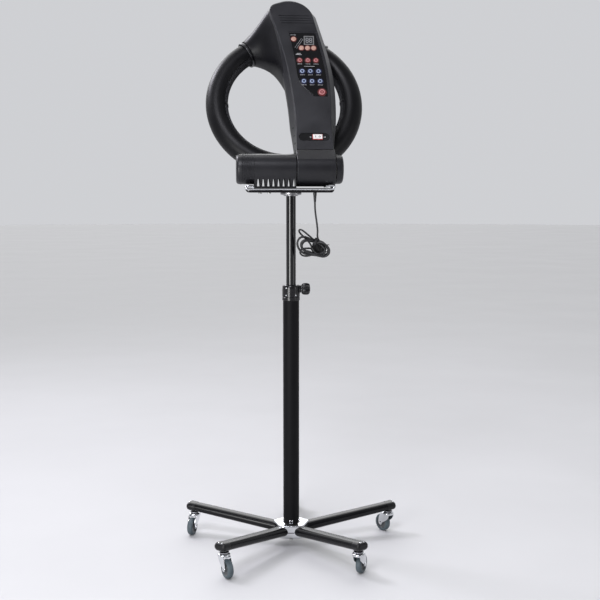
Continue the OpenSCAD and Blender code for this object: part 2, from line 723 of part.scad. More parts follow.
module arm_front_cover() {
    color(charcoal) head_frame() difference() {
        union() {
            difference() {
                slab(face_n, split_n) polygon(arm_outline(0, arm_foot));
                slab(face_n + face_t, split_n + 1) polygon(arm_outline(cover_wall, arm_foot + cover_wall));
            }
            for (p = POSTS) bar([arm_mid(p[1]) + p[0], p[1]], 2.5, face_n + face_t - 0.5, board_n);
        }
        slab(face_n - 1, face_n + panel_t) polygon(panel_outline(-slip_gap));
        for (k = KEYS) bar(key_at(k), k[2] + move_gap, face_n - 1, face_n + face_t + 1);
        slab(face_n - 1, face_n + face_t + 1) translate(display_at)
            square(display_w + 2 * slip_gap, center = true);
        slab(face_n - 1, face_n + well_depth) translate(well_at) stadium(well_len, well_h);
        slab(face_n - 1, face_n + face_t + 1) translate([slider_x, well_at[1]])
            square([10 + 2 * slider_travel + 1, 8.6], center = true);
        for (v = [445, 455, 464]) slab(face_n - 1, face_n + face_t + 1)
            translate([arm_mid(v) + louvre_x, v]) square([louvre_len, 2.4], center = true);
    }
}

// Fairing that carries the saddle out from the arm to its left mouth
module left_horn() {
    stations = [[6, 2, rear_n, 285, 470], [-30, 8, 92, 338, 476], [-66, 26, 106, 366, 468]];
    module station(s) {
        translate([s[0], s[1], s[3]]) cube([2, s[2] - s[1], s[4] - s[3]]);
    }
    for (i = [0:1]) hull() {
        station(stations[i]);
        station(stations[i + 1]);
    }
    hull() {
        station(stations[2]);
        along_ring(saddle_a1 - 3.5, saddle_a1 - 2) circle(r = saddle_r - 0.8, $fn = 32);
    }
}

// The hollow of the drive housing, round the saddle's wall and the boss that carries motor and roller
module drive_hollow() {
    difference() {
        slab(rear_n - cover_wall - 1, dome_back - cover_wall)
            polygon(arm_outline(dome_inset + cover_wall, dome_foot + cover_wall, 0));
        along_ring(saddle_a0 - 10, saddle_a1 + 10) circle(r = saddle_r + 1);
        bar([ring_x, roller_v], motor_r + 4, rear_n - cover_wall - 2, dome_back);
    }
}

module arm_rear_cover() {
    color(charcoal) head_frame() difference() {
        union() {
            slab(split_n, rear_n) polygon(arm_outline(0, arm_foot));
            slab(rear_n - 5, dome_back) polygon(arm_outline(dome_inset, dome_foot, 0));
            left_horn();
            along_ring(saddle_a0, saddle_a1) circle(r = saddle_r);
        }
        drive_hollow();
        along_ring() circle(r = tunnel_r);
        slab(split_n - 1, rear_n - cover_wall) polygon(arm_outline(cover_wall, arm_foot + cover_wall));
        bar([ring_x, roller_v], motor_r + 1, split_n - 1, motor_n1);
        bar([ring_x, roller_v], 3 + run_fit, motor_n1 - 1, dome_back - 2);
        bar([ring_x, roller_v], roller_r + 1, ring_back - roller_w / 2 - 1, ring_back + roller_w / 2 + 1);
    }
}

module saddle_trims() {
    color(steel) head_frame() for (a = [saddle_a0 - atan(trim_w / ring_r), saddle_a1])
        along_ring(a, a + atan(trim_w / ring_r)) difference() {
            circle(r = saddle_r);
            circle(r = ring_tube + move_gap);
        }
}

module panel_fascia() {
    color(gloss_black) head_frame() difference() {
        slab(face_n, face_n + panel_t) polygon(panel_outline(0));
        for (k = KEYS) bar(key_at(k), k[2] + move_gap, face_n - 1, face_n + panel_t + 1);
        slab(face_n - 1, face_n + panel_t + 1) translate(display_at)
            square(display_w + 2 * slip_gap, center = true);
    }
}

module display() {
    color([0.45, 0.47, 0.46]) head_frame() slab(face_n, board_n) translate(display_at)
        square(display_w, center = true);
}

module circuit_board() {
    color([0.1, 0.3, 0.15]) head_frame() slab(board_n, board_n + board_t) polygon(panel_outline(-4));
}

module slide_switch() {
    floor_n = face_n + well_depth;
    color([0.9, 0.85, 0.83]) head_frame() translate([slider_x, 0, well_at[1]]) {
        slab(face_n - 0.5, floor_n - slip_gap) stadium(slider_len, slider_h);
        slab(floor_n - 1, face_n + face_t + move_gap) square([10, 8], center = true);
        slab(face_n + face_t + move_gap, face_n + face_t + 3) square([18, 14], center = true);
    }
}

module drive_motor() {
    color([0.6, 0.6, 0.62]) head_frame() difference() {
        bar([ring_x, roller_v], motor_r, motor_n0, motor_n1);
        bar([ring_x, roller_v], 3.5, motor_n1 - 6, motor_n1 + 1);
    }
}

module drive_roller() {
    color([0.25, 0.25, 0.26]) head_frame() {
        bar([ring_x, roller_v], roller_r, ring_back - roller_w / 2, ring_back + roller_w / 2);
        bar([ring_x, roller_v], 3, motor_n1 - 5, dome_back - 2.5);
    }
}

// A key with the flange that keeps it behind the panel
module key(k, shade) {
    color(shade) head_frame() {
        bar(key_at(k), k[2], face_n - key_proud, board_n - key_travel - slip_gap);
        bar(key_at(k), k[2] + 1, face_n + face_t + slip_gap, face_n + face_t + 1.5);
    }
}

// ---------- heating ring ----------

// The part of the ring's section that faces the middle of the ring, within half the given angle
module inward_wedge(half) {
    reach = 3 * ring_tube;
    polygon([[0, 0], [-reach, -reach * tan(half)], [-reach, reach * tan(half)]]);
}

module ring_section() {
    difference() {
        circle(r = ring_tube);
        circle(r = ring_tube - ring_wall);
    }
}

module ring_shell() {
    color(satin_black) head_frame() along_ring() difference() {
        ring_section();
        inward_wedge(grille_half);
    }
}

module ring_grille() {
    color([0.3, 0.3, 0.32]) head_frame() along_ring() intersection() {
        ring_section();
        inward_wedge(grille_half);
    }
}

// Four curved quartz tubes, each held by a ceramic block at either end
module heater_elements() {
    block = 5;
    first = 8;
    last = 82;
    color([0.95, 0.93, 0.88]) head_frame() for (q = [0:90:270]) {
        along_ring(q + first, q + last) translate([-10, 0]) circle(r = 5);
        for (a = [q + first - block + 1, q + last - 1]) along_ring(a, a + block) intersection() {
            circle(r = ring_tube - ring_wall);
            translate([-18, -9]) square([80, 18]);
        }
    }
}

orange = [0.95, 0.6, 0.45];
red = [0.8, 0.15, 0.18];
blue = [0.35, 0.5, 0.75];

hub_top();
hub_bottom();
hub_bolts();
base_legs();
leg_caps();
castor_stems();
castor_fork(0);  // castor_fork_1
castor_fork(1);  // castor_fork_2
castor_fork(2);  // castor_fork_3
castor_fork(3);  // castor_fork_4
castor_fork(4);  // castor_fork_5
castor_wheel(0);  // castor_wheel_1
castor_wheel(1);  // castor_wheel_2
castor_wheel(2);  // castor_wheel_3
castor_wheel(3);  // castor_wheel_4
castor_wheel(4);  // castor_wheel_5
column_tube();
mast_bushes();
clamp_collar();
clamp_knob();
mast();
head_flange();
bracket();
bracket_screws();
barrel_housing();
barrel_cap_left();
barrel_cap_right();
hinge_shaft();
friction_washers();
strain_relief();
cord_run();
cord_hank();
mains_plug();
arm_sleeve();
arm_front_cover();
arm_rear_cover();
saddle_trims();
panel_fascia();
display();
circuit_board();
slide_switch();
drive_motor();
drive_roller();
ring_shell();
ring_grille();
heater_elements();
key(KEY_ROUND[0], orange);  // key_round
key(KEY_TIME[0], orange);  // key_time_1
key(KEY_TIME[1], orange);  // key_time_2
key(KEY_TIME[2], orange);  // key_time_3
key(KEY_PROGRAM[0], red);  // key_program_1
key(KEY_PROGRAM[1], red);  // key_program_2
key(KEY_PROGRAM[2], red);  // key_program_3
key(KEY_HEAT[0], blue);  // key_heat_1
key(KEY_HEAT[1], blue);  // key_heat_2
key(KEY_HEAT[2], blue);  // key_heat_3
key(KEY_ZONE[0], blue);  // key_zone_1
key(KEY_ZONE[1], blue);  // key_zone_2
key(KEY_ZONE[2], blue);  // key_zone_3
key(KEY_STOP[0], red);  // key_stop
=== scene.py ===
import bpy, math
from mathutils import Matrix, Vector


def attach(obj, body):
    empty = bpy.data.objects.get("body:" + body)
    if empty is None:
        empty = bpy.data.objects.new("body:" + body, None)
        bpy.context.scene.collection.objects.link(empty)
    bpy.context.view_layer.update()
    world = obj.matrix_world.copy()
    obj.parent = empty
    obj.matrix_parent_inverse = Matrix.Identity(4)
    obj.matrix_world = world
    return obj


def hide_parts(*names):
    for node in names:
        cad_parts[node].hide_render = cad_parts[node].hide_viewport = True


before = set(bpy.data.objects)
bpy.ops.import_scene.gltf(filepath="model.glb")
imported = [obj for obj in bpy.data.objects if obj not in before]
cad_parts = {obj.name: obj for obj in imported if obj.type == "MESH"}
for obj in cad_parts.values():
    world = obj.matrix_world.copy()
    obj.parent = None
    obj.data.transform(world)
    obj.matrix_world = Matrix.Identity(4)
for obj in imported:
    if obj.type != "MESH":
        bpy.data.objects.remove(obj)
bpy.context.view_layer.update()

# ---------------------------------------------------------------- camera
# A waist-high view of the whole stand, from a little to its left, 2.75 m away and 1 m above the floor.
# The lens is a short telephoto, which keeps the column and the mast nearly upright in the picture.
bpy.ops.object.camera_add(location=(-0.2014, -2.7426, 0.997),
                          rotation=(math.radians(83.85), 0, math.radians(-4.72)))
camera = bpy.context.object
camera.data.lens = 59.4
camera.data.sensor_width = 36
bpy.context.scene.camera = camera

# ---------------------------------------------------------------- mains cord, tied up in loops
# Round black PVC mains lead, 5 mm thick. It drops from the strain relief under the bracket and is gathered by
# hand into loops either side of one tie, so it hangs from its own first stretch.
CORD_D, CORD_LENGTH = 0.005, 1.82


def mm(x, y, z):
    """A place or a step in millimetres, as Blender's metres."""
    return Vector((x, y, z)) / 1000


def moulding(name, dark, light, rough, grain, relief, metal=0.0, coat=0.0, patch=14.0, shine=0.5):
    """A finish with soft patches between two colours, an uneven polish and a fine surface grain."""
    made = bpy.data.materials.new(name)
    made.use_nodes = True
    nodes, links = made.node_tree.nodes, made.node_tree.links
    shader = nodes["Principled BSDF"]
    shader.inputs["Metallic"].default_value = metal
    shader.inputs["Specular IOR Level"].default_value = shine
    shader.inputs["Coat Weight"].default_value = coat
    shader.inputs["Coat Roughness"].default_value = 0.08
    place = nodes.new("ShaderNodeTexCoord")
    patches = nodes.new("ShaderNodeTexNoise")
    patches.inputs["Scale"].default_value = patch
    patches.inputs["Detail"].default_value = 4
    tint = nodes.new("ShaderNodeValToRGB")
    tint.color_ramp.elements[0].position, tint.color_ramp.elements[1].position = 0.35, 0.68
    tint.color_ramp.elements[0].color = (*dark, 1)
    tint.color_ramp.elements[1].color = (*light, 1)
    polish = nodes.new("ShaderNodeMapRange")
    polish.inputs["From Min"].default_value, polish.inputs["From Max"].default_value = 0.3, 0.7
    polish.inputs["To Min"].default_value, polish.inputs["To Max"].default_value = rough
    fine = nodes.new("ShaderNodeTexNoise")
    fine.inputs["Scale"].default_value = grain
    fine.inputs["Detail"].default_value = 2
    bump = nodes.new("ShaderNodeBump")
    bump.inputs["Strength"].default_value = relief
    bump.inputs["Distance"].default_value = 0.0004
    links.new(place.outputs["Object"], patches.inputs["Vector"])
    links.new(place.outputs["Object"], fine.inputs["Vector"])
    links.new(patches.outputs["Fac"], tint.inputs["Fac"])
    links.new(tint.outputs["Color"], shader.inputs["Base Color"])
    links.new(patches.outputs["Fac"], polish.inputs["Value"])
    links.new(polish.outputs["Result"], shader.inputs["Roughness"])
    links.new(fine.outputs["Fac"], bump.inputs["Height"])
    links.new(bump.outputs["Normal"], shader.inputs["Normal"])
    return made


cord_pvc = moulding("cord_pvc", (0.010, 0.010, 0.011), (0.020, 0.020, 0.022), (0.34, 0.5), 900, 0.25)

CORD_EXIT = (64, -26, 973)
cord_drop = [CORD_EXIT, (64, -26, 964), (64.3, -26.5, 955), (65, -28, 946), (66, -31, 936), (67, -35, 926),
             (68, -40, 916), (68.6, -45, 907), (69, -50, 898), (68.5, -55, 888), (67, -60, 880)]
# Right-hand and left-hand halves of the loops, sideways and upward, each traced from the tie and back to it
right_wide = [(72, 866), (84, 862), (95, 853), (100, 841), (95, 829), (83, 824), (70, 827), (58, 832)]
right_high = [(70, 869), (80, 868), (89, 860), (91, 848), (84, 837), (72, 832), (60, 834)]
right_low = [(73, 860), (84, 852), (90, 842), (87, 831), (77, 826), (66, 828), (56, 830)]
left_wide = [(46, 830), (33, 833), (20, 842), (13, 855), (13, 869), (22, 879), (35, 880), (48, 873)]
left_round = [(47, 838), (36, 840), (27, 847), (23, 857), (28, 867), (38, 871), (50, 868)]
left_flat = [(45, 834), (33, 839), (24, 849), (21, 861), (29, 871), (41, 872), (51, 867)]
halves = [(right_wide, left_round), (right_high, left_wide), (right_low, left_flat), (right_wide, left_wide),
          (right_high, left_round), (right_low, left_wide), (right_wide, left_flat)]
route = [mm(*p) for p in cord_drop]
for i, (right, left) in enumerate(halves):
    depth = -47.5 - 4.3 * i
    slot_y, slot_z = -59 + 5.0 * (i % 3 - 1), 864 - 4.8 * (i // 3 - 1)
    if i:
        route.append(mm(61 + i % 2, slot_y, slot_z))
    half = right + left
    for k, (x, z) in enumerate(half):
        near = max(0.0, 1 - min(k + 1, len(half) - k) / 2.5)
        sway = 1.3 * math.sin(2.1 * k + 1.7 * i)
        route.append(mm(x + 1.1 * math.sin(3.3 * i), depth + (slot_y - depth) * near + sway,
                        z + 1.2 * math.cos(2.3 * i)))
# The last turn carries a narrow loop that stands up by itself, and then the end goes back to the plug
route += [mm(*p) for p in [
    (62, -54, 868), (72, -55, 865), (83, -58, 858), (89, -61, 846), (84, -63, 835), (73, -62, 831),
    (62, -58, 835), (55, -55, 845), (51, -53, 856), (45, -51, 866), (36, -50, 875), (27, -49, 883),
    (20, -51, 890), (17, -57, 896), (19, -65, 900), (26, -69, 898), (33, -67, 892), (43, -65, 884),
    (52, -62, 876), (61, -58, 869), (70, -53, 862), (75, -47, 852), (73, -43, 840), (63, -40, 832),
    (50, -38, 827), (37, -37, 825), (26, -36.6, 828), (21, -36.6, 836), (25, -36.6, 844), (34, -36.6, 847.5),
    (44, -36.6, 847), (53, -36.6, 847)]]


def wire(name, route, radius, facets, capped=False):
    """A round wire that runs smoothly from the first of the points to the last."""
    curve = bpy.data.curves.new(name, "CURVE")
    curve.dimensions = "3D"
    curve.bevel_depth = radius
    curve.bevel_resolution = facets
    curve.resolution_u = 6
    curve.use_fill_caps = capped
    line = curve.splines.new("NURBS")
    line.points.add(len(route) - 1)
    for point, place in zip(line.points, route):
        point.co = (*place, 1)
    line.order_u = 4
    line.use_endpoint_u = True
    piece = bpy.data.objects.new(name, curve)
    bpy.context.scene.collection.objects.link(piece)
    return piece


cord = wire("cord", route, CORD_D / 2, 4)
cord.data.materials.append(cord_pvc)
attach(cord, "head")
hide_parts("cord_run", "cord_hank")

# ---------------------------------------------------------------- tie, strain relief and plug
# The tie is a plastic-covered twist tie round the gathered strands. The strain relief is a soft tapered boot
# with rings moulded into it, and the plug a flat two-pin one moulded onto the cord's end.


def hold(*pieces):
    """Leaves edit mode, and selects these pieces and nothing else."""
    if bpy.context.object and bpy.context.object.mode != "OBJECT":
        bpy.ops.object.mode_set(mode="OBJECT")
    bpy.ops.object.select_all(action="DESELECT")
    for piece in pieces:
        piece.select_set(True)
    if pieces:
        bpy.context.view_layer.objects.active = pieces[0]


def pick(piece, test, kind="FACE"):
    """Selects faces, edges or points by their middle and direction, and leaves the piece in edit mode."""
    hold(piece)
    mesh = piece.data
    for parts in (mesh.vertices, mesh.edges, mesh.polygons):
        parts.foreach_set("select", [False] * len(parts))
    if kind == "FACE":
        for face in mesh.polygons:
            face.select = test(face.center * 1000, face.normal)
    elif kind == "EDGE":
        for edge in mesh.edges:
            a, b = (mesh.vertices[v].co for v in edge.vertices)
            edge.select = test((a + b) * 500, (b - a).normalized())
    else:
        for point in mesh.vertices:
            point.select = test(point.co * 1000, point.normal)
    bpy.context.tool_settings.mesh_select_mode = (kind == "VERT", kind == "EDGE", kind == "FACE")
    bpy.ops.object.mode_set(mode="EDIT")


def start_point(name, x, y, z):
    """One point of a new piece, in edit mode, ready to be extruded."""
    hold()
    bpy.ops.mesh.primitive_plane_add(size=0.001)
    piece = bpy.context.object
    piece.name = piece.data.name = name
    bpy.ops.object.mode_set(mode="EDIT")
    bpy.context.tool_settings.mesh_select_mode = (True, False, False)
    bpy.ops.mesh.merge(type="CENTER")
    bpy.ops.transform.translate(value=mm(x, y, z))
    return piece


def draw(x, y, z):
    """Draws on from the last point by this step."""
    bpy.ops.mesh.extrude_vertices_move(TRANSFORM_OT_translate={"value": mm(x, y, z)})


def pull(x, y, z):
    """Extrudes the selected faces by this step."""
    bpy.ops.mesh.extrude_region_move(TRANSFORM_OT_translate={"value": mm(x, y, z)})


def sound(piece, merge=False):
    """Merges doubles where asked, turns every face outwards and leaves edit mode."""
    bpy.ops.mesh.select_all(action="SELECT")
    if merge:
        bpy.ops.mesh.remove_doubles(threshold=0.000002)
    bpy.ops.mesh.normals_make_consistent(inside=False)
    bpy.ops.object.mode_set(mode="OBJECT")
    return piece


def turned(name, profile, steps=48):
    """A turned body: its profile of (radius, height) is drawn and spun about the upright axis."""
    piece = start_point(name, profile[0][0], 0, profile[0][1])
    for (r0, z0), (r1, z1) in zip(profile, profile[1:]):
        draw(r1 - r0, 0, z1 - z0)
    bpy.ops.mesh.select_all(action="SELECT")
    bpy.ops.mesh.spin(steps=steps, angle=2 * math.pi, center=(0, 0, 0), axis=(0, 0, 1))
    return sound(piece, merge=True)


def placed(piece, matrix):
    """Puts the piece where the matrix says, and keeps its object at the origin."""
    hold(piece)
    piece.matrix_world = matrix
    bpy.ops.object.transform_apply(location=True, rotation=True, scale=True)
    return piece


def turn_to(along, at):
    """Stands a piece at a place, with its upright axis turned to this direction."""
    return Matrix.Translation(mm(*at)) @ Vector(along).to_track_quat("Z", "Y").to_matrix().to_4x4()


def worked(piece, kind, **settings):
    """Adds a modifier and applies it."""
    hold(piece)
    made = piece.modifiers.new(kind.lower(), kind)
    for key, value in settings.items():
        setattr(made, key, value)
    bpy.ops.object.modifier_apply(modifier=made.name)
    return piece


def eased(piece, width, segments, angle):
    """Rounds the edges that turn by more than this angle."""
    return worked(piece, "BEVEL", width=width, segments=segments, limit_method="ANGLE",
                  angle_limit=math.radians(angle))


def fitted(piece, finish, body, slot, *nodes, crease=32):
    """Gives the finished piece its material, its shading and the body that it rides on."""
    hold(piece)
    bpy.ops.object.shade_smooth_by_angle(angle=math.radians(crease))
    worked(piece, "WEIGHTED_NORMAL", keep_sharp=True, weight=100)
    piece.data.materials.clear()
    piece.data.materials.append(finish)
    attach(piece, body)
    if nodes:
        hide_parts(*nodes)
    return piece


tie = turned("cord_tie", [(10.8, -3), (12.4, -3), (12.9, -2), (12.9, 2), (12.4, 3), (10.8, 3), (10.8, -3)])
pick(tie, lambda c, n: n.z > 0.9 and c.x > 8 and abs(c.y) < 3)
pull(1.5, 0, 5)
pull(3, 1, 5)
worked(tie, "BEVEL", width=0.0004, segments=2)
placed(tie, turn_to((0.94, 0.05, -0.34), (61, -59, 865)))
fitted(tie, cord_pvc, "head", "cord_rubber")

BOOT_LENGTH = 26
boot = [(0, 0), (4.6, 0), (4.9, 0.6), (5.0, 1.6), (5.0, 4)]
for rib in range(6):
    wide = 4.9 - rib * 0.27
    boot += [(wide, 4.6 + rib * 3.2), (wide, 6.2 + rib * 3.2), (wide - 0.7, 6.6 + rib * 3.2),
             (wide - 0.7, 7.4 + rib * 3.2)]
boot += [(3.4, BOOT_LENGTH - 1.6), (3.1, BOOT_LENGTH), (0, BOOT_LENGTH)]
relief = turned("strain_relief_boot", boot)
placed(relief, turn_to((0, 0, -1), Vector(CORD_EXIT) + Vector((0, 0, BOOT_LENGTH))))
fitted(relief, cord_pvc, "head", "cord_rubber", "strain_relief")


def block(name, low, high):
    """A cube stretched between two corners, ready to be shaped."""
    hold()
    middle = (Vector(low) + Vector(high)) / 2000
    bpy.ops.mesh.primitive_cube_add(size=1, location=middle)
    piece = bpy.context.object
    piece.name = piece.data.name = name
    piece.scale = (Vector(high) - Vector(low)) / 1000
    bpy.ops.object.transform_apply(location=True, rotation=True, scale=True)
    return piece


def copied(piece, name):
    """Another of the same piece, with its own mesh."""
    twin = piece.copy()
    twin.data = piece.data.copy()
    twin.name = twin.data.name = name
    bpy.context.scene.collection.objects.link(twin)
    return twin


def joined(*pieces):
    """Makes several meshes one with the first."""
    hold(*pieces)
    bpy.ops.object.join()
    return pieces[0]


def gathered(name, pieces):
    """Makes like pieces one, under their common name."""
    whole = joined(*pieces)
    whole.name = name
    return whole


plug_nickel = moulding("plug_nickel", (0.5, 0.5, 0.5), (0.62, 0.61, 0.6), (0.18, 0.3), 700, 0.1, metal=1.0)
plug = block("mains_plug_body", (60, -43.6, 829), (84, -29.6, 865))
pick(plug, lambda c, n: n.x < -0.9)
pull(-5, 0, 0)
bpy.ops.transform.resize(value=(1, 0.8, 0.45))
pull(-3, 0, 0)
bpy.ops.transform.resize(value=(1, 0.7, 0.5))
pick(plug, lambda c, n: n.x > 0.9)
bpy.ops.mesh.inset(thickness=0.0022)
pull(1.2, 0, 0)
pick(plug, lambda c, n: abs(n.y) > 0.9 and c.x > 60)
bpy.ops.mesh.inset(thickness=0.004)
pull(0, 0, 0)
bpy.ops.transform.resize(value=(0.94, 0.9, 0.94))
eased(plug, 0.0016, 3, 35)
pins = []
for height in (-9.5, 9.5):
    pin = turned("plug_pin", [(0, 0), (2.0, 0), (2.0, 16.6), (1.7, 17.4), (0.9, 17.9), (0, 18)], steps=20)
    placed(pin, turn_to((1, 0, 0), (85, -36.6, 847 + height)))
    pins.append(pin)
pins = gathered("mains_plug_pins", pins)
fitted(plug, cord_pvc, "head", "cord_rubber", "mains_plug")
fitted(pins, plug_nickel, "head", "bolt_steel")

# ---------------------------------------------------------------- studio
# A pale floor under a sky that is darker towards the viewer, so that dark gloss stays dark. Soft windows
# stand at the left, in front and behind, one shines down on the controls from in front, and a slim one edges
# the right sides. A broad, high sun from behind lights the floor.
hold()
bpy.ops.mesh.primitive_circle_add(vertices=96, radius=30, fill_type="NGON", location=(0, 0, 0))
floor = bpy.context.object
floor.name = "studio_floor"
floor_paint = moulding("studio_floor", (0.56, 0.56, 0.57), (0.60, 0.60, 0.61), (0.7, 0.8), 3, 0.05, patch=1.2)
floor.data.materials.append(floor_paint)

world = bpy.data.worlds.new("studio")
world.use_nodes = True
sky = world.node_tree.nodes["Background"]
sky.inputs["Color"].default_value = (0.80, 0.81, 0.84, 1)
facing = world.node_tree.nodes.new("ShaderNodeTexCoord")
split = world.node_tree.nodes.new("ShaderNodeSeparateXYZ")
fall = world.node_tree.nodes.new("ShaderNodeMapRange")
fall.inputs["From Min"].default_value, fall.inputs["From Max"].default_value = -0.9, 0.9
fall.inputs["To Min"].default_value, fall.inputs["To Max"].default_value = 0.20, 0.78
world.node_tree.links.new(facing.outputs["Generated"], split.inputs["Vector"])
world.node_tree.links.new(split.outputs["Y"], fall.inputs["Value"])
world.node_tree.links.new(fall.outputs["Result"], sky.inputs["Strength"])
bpy.context.scene.world = world
bpy.context.scene.view_settings.view_transform = "Standard"


def soft_light(name, at, aim, wide, high, power, colour=(1, 1, 1)):
    """A rectangular window of light, turned to what it lights."""
    bpy.ops.object.light_add(type="AREA", location=at)
    light = bpy.context.object
    light.name = name
    light.data.shape = "RECTANGLE"
    light.data.size, light.data.size_y = wide, high
    light.data.energy = power
    light.data.color = colour
    light.rotation_euler = (Vector(aim) - Vector(at)).to_track_quat("-Z", "Y").to_euler()


soft_light("window_front", (-1.75, -2.6, 0.85), (0, 0, 0.85), 1.25, 1.3, 44)
soft_light("front_high", (-0.9, -2.2, 3.2), (0, 0, 1.2), 1.2, 0.9, 48, (0.92, 0.92, 1))
soft_light("window_left", (-2.0, 1.5, 3.1), (-0.1, 0, 1.4), 0.7, 0.9, 48, (0.92, 0.90, 1))
soft_light("fill_right", (2.4, -1.6, 1.4), (0, 0, 0.9), 0.3, 2.0, 6)
bpy.ops.object.light_add(type="SUN", rotation=(math.radians(-46), 0, math.radians(8)))
high_back = bpy.context.object
high_back.name = "high_back"
high_back.data.angle = math.radians(70)
high_back.data.energy = 1.9

# ---------------------------------------------------------------- hub
# Two chrome-plated zinc castings, bolted together from below, that clamp the five legs and the foot of the
# column. Each is a five-sided dish with a chamfered rim, and the upper one has a low collar round the tube.
LEG_PITCH = 360 / 5
LEGS = [85.8 + LEG_PITCH * i for i in range(5)]
chrome = moulding("chrome_plate", (0.62, 0.63, 0.65), (0.80, 0.81, 0.83), (0.07, 0.16), 400, 0.06, metal=1.0)
# A darker copy of the same chrome, used as painted shade on the recessed waist between the hub castings and
# on the cups under the legs
chrome_shaded = moulding("chrome_painted_shade", (0.30, 0.30, 0.32), (0.45, 0.45, 0.47), (0.1, 0.22), 400, 0.06,
                       metal=1.0)


def dish(name, heights):
    """A five-sided dish from (radius at the flats, height) rings, with rounded corners."""
    hold()
    corner_reach = heights[0][0] / 1000 / math.cos(math.radians(LEG_PITCH / 2))
    bpy.ops.mesh.primitive_circle_add(vertices=5, radius=corner_reach, fill_type="NGON",
                                      location=mm(0, 0, heights[0][1]))
    piece = bpy.context.object
    piece.name = piece.data.name = name
    bpy.ops.object.transform_apply(location=True)
    bpy.ops.object.mode_set(mode="EDIT")
    bpy.ops.mesh.select_all(action="SELECT")
    bpy.ops.mesh.bevel(offset=0.011, segments=5, affect="VERTICES")
    bpy.ops.mesh.select_all(action="SELECT")
    for (r0, z0), (r1, z1) in zip(heights, heights[1:]):
        pull(0, 0, z1 - z0)
        bpy.ops.transform.resize(value=(r1 / r0, r1 / r0, 1), center_override=mm(0, 0, z1))
    sound(piece)
    # the circle's first corner lies on +Y, and the corners belong under the legs
    return placed(piece, Matrix.Rotation(math.radians(LEGS[0] - 90), 4, "Z"))


hub_upper = dish("hub_upper", [(45, 45.2), (45.5, 46), (45.5, 61.5), (43.5, 64.5), (36, 67), (31, 68),
                               (28.5, 69)])
eased(hub_upper, 0.0007, 2, 25)
fitted(hub_upper, chrome, "root", "bright_metal", "hub_top", crease=25)
hub_lower = dish("hub_lower", [(36, 25.2), (41, 26.2), (44, 29), (45.5, 33), (45.5, 43), (45, 43.8)])
eased(hub_lower, 0.0007, 2, 25)
fitted(hub_lower, chrome, "root", "bright_metal", "hub_bottom", crease=25)
# The waist in the gap between the two castings takes the darker chrome copy as painted shade
hub_waist = dish("hub_waist", [(43.5, 42), (43.5, 47)])
eased(hub_waist, 0.0003, 1, 40)
fitted(hub_waist, chrome_shaded, "root", "bright_metal", crease=25)

# Two small dome-head screws per gap hold the tube's foot
foot_screws = []
for turn in LEGS:
    for side in (-7, 7):
        screw = turned("foot_screw", [(0, 0), (2.6, 0), (2.5, 1.0), (1.8, 1.9), (0.8, 2.3), (0, 2.4)],
                       steps=20)
        aim = math.radians(turn + LEG_PITCH / 2 + side)
        placed(screw, turn_to((math.cos(aim), math.sin(aim), 0.25),
                              (24.5 * math.cos(aim), 24.5 * math.sin(aim), 72.5)))
        foot_screws.append(screw)
foot_screws = gathered("foot_screws", foot_screws)
fitted(foot_screws, chrome, "root", "bolt_steel")

# ---------------------------------------------------------------- legs
# Five flat-oval steel tubes in gloss black enamel, slightly slimmer at the tip, each closed by a rounded
# black plastic cap pushed into its end and fixed by two small screws.
enamel = moulding("gloss_enamel", (0.002, 0.002, 0.003), (0.004, 0.004, 0.005), (0.16, 0.26), 260, 0.12,
                  shine=0.3)
black_plastic = moulding("black_plastic", (0.003, 0.003, 0.004), (0.007, 0.007, 0.008), (0.24, 0.34), 1100,
                         0.25, shine=0.36)
SLOPE, LEG_Z, LEG_END = math.radians(7.3), 41.235, 313
leg = block("leg", (18, -19, -13), (LEG_END, 19, 13))
pick(leg, lambda c, d: abs(d.x) > 0.9, "EDGE")
bpy.ops.mesh.bevel(offset=0.0122, segments=8)
pick(leg, lambda c, n: n.x > 0.9)
bpy.ops.transform.resize(value=(1, 0.96, 0.86), center_override=mm(LEG_END, 0, 0))
tip = block("leg_cap", (LEG_END - 17, -19.3, -11.6), (LEG_END + 1, 19.3, 11.6))
pick(tip, lambda c, d: abs(d.x) > 0.9, "EDGE")
bpy.ops.mesh.bevel(offset=0.0112, segments=8)
pick(tip, lambda c, n: n.x > 0.9)
CAP_ROUNDING = ((2.7, 0.975, 0.95), (2.5, 0.94, 0.89), (2, 0.9, 0.82), (1.2, 0.86, 0.76), (0.8, 0.8, 0.7))
for step, width, height in CAP_ROUNDING:
    pull(step, 0, 0)
    bpy.ops.transform.resize(value=(1, width, height))
eased(tip, 0.0005, 2, 40)
cap_screw = turned("cap_screw", [(0, 0), (2.0, 0), (1.9, 0.7), (1.2, 1.3), (0, 1.5)], steps=16)
legs, tips, cap_screws = [], [], []
for number, turn in enumerate(LEGS):
    out = (Matrix.Rotation(math.radians(turn), 4, "Z") @ Matrix.Translation(mm(0, 0, LEG_Z))
           @ Matrix.Rotation(-SLOPE, 4, "Y"))
    legs.append(placed(copied(leg, "leg_%d" % (number + 1)), out))
    tips.append(placed(copied(tip, "leg_cap_%d" % (number + 1)), out))
    for side in (-5.5, 5.5):
        cap_screws.append(placed(copied(cap_screw, "cap_screw"),
                                 out @ turn_to((0.45, 0, 1), (LEG_END + 5, side, 10.2))))
for spare in (leg, tip, cap_screw):
    bpy.data.objects.remove(spare)
for piece in legs:
    fitted(piece, enamel, "root", "leg_paint")
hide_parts("base_legs")
for piece in tips:
    fitted(piece, black_plastic, "root", "black_plastic")
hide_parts("leg_caps")
cap_screws = gathered("leg_cap_screws", cap_screws)
fitted(cap_screws, chrome, "root", "bolt_steel")

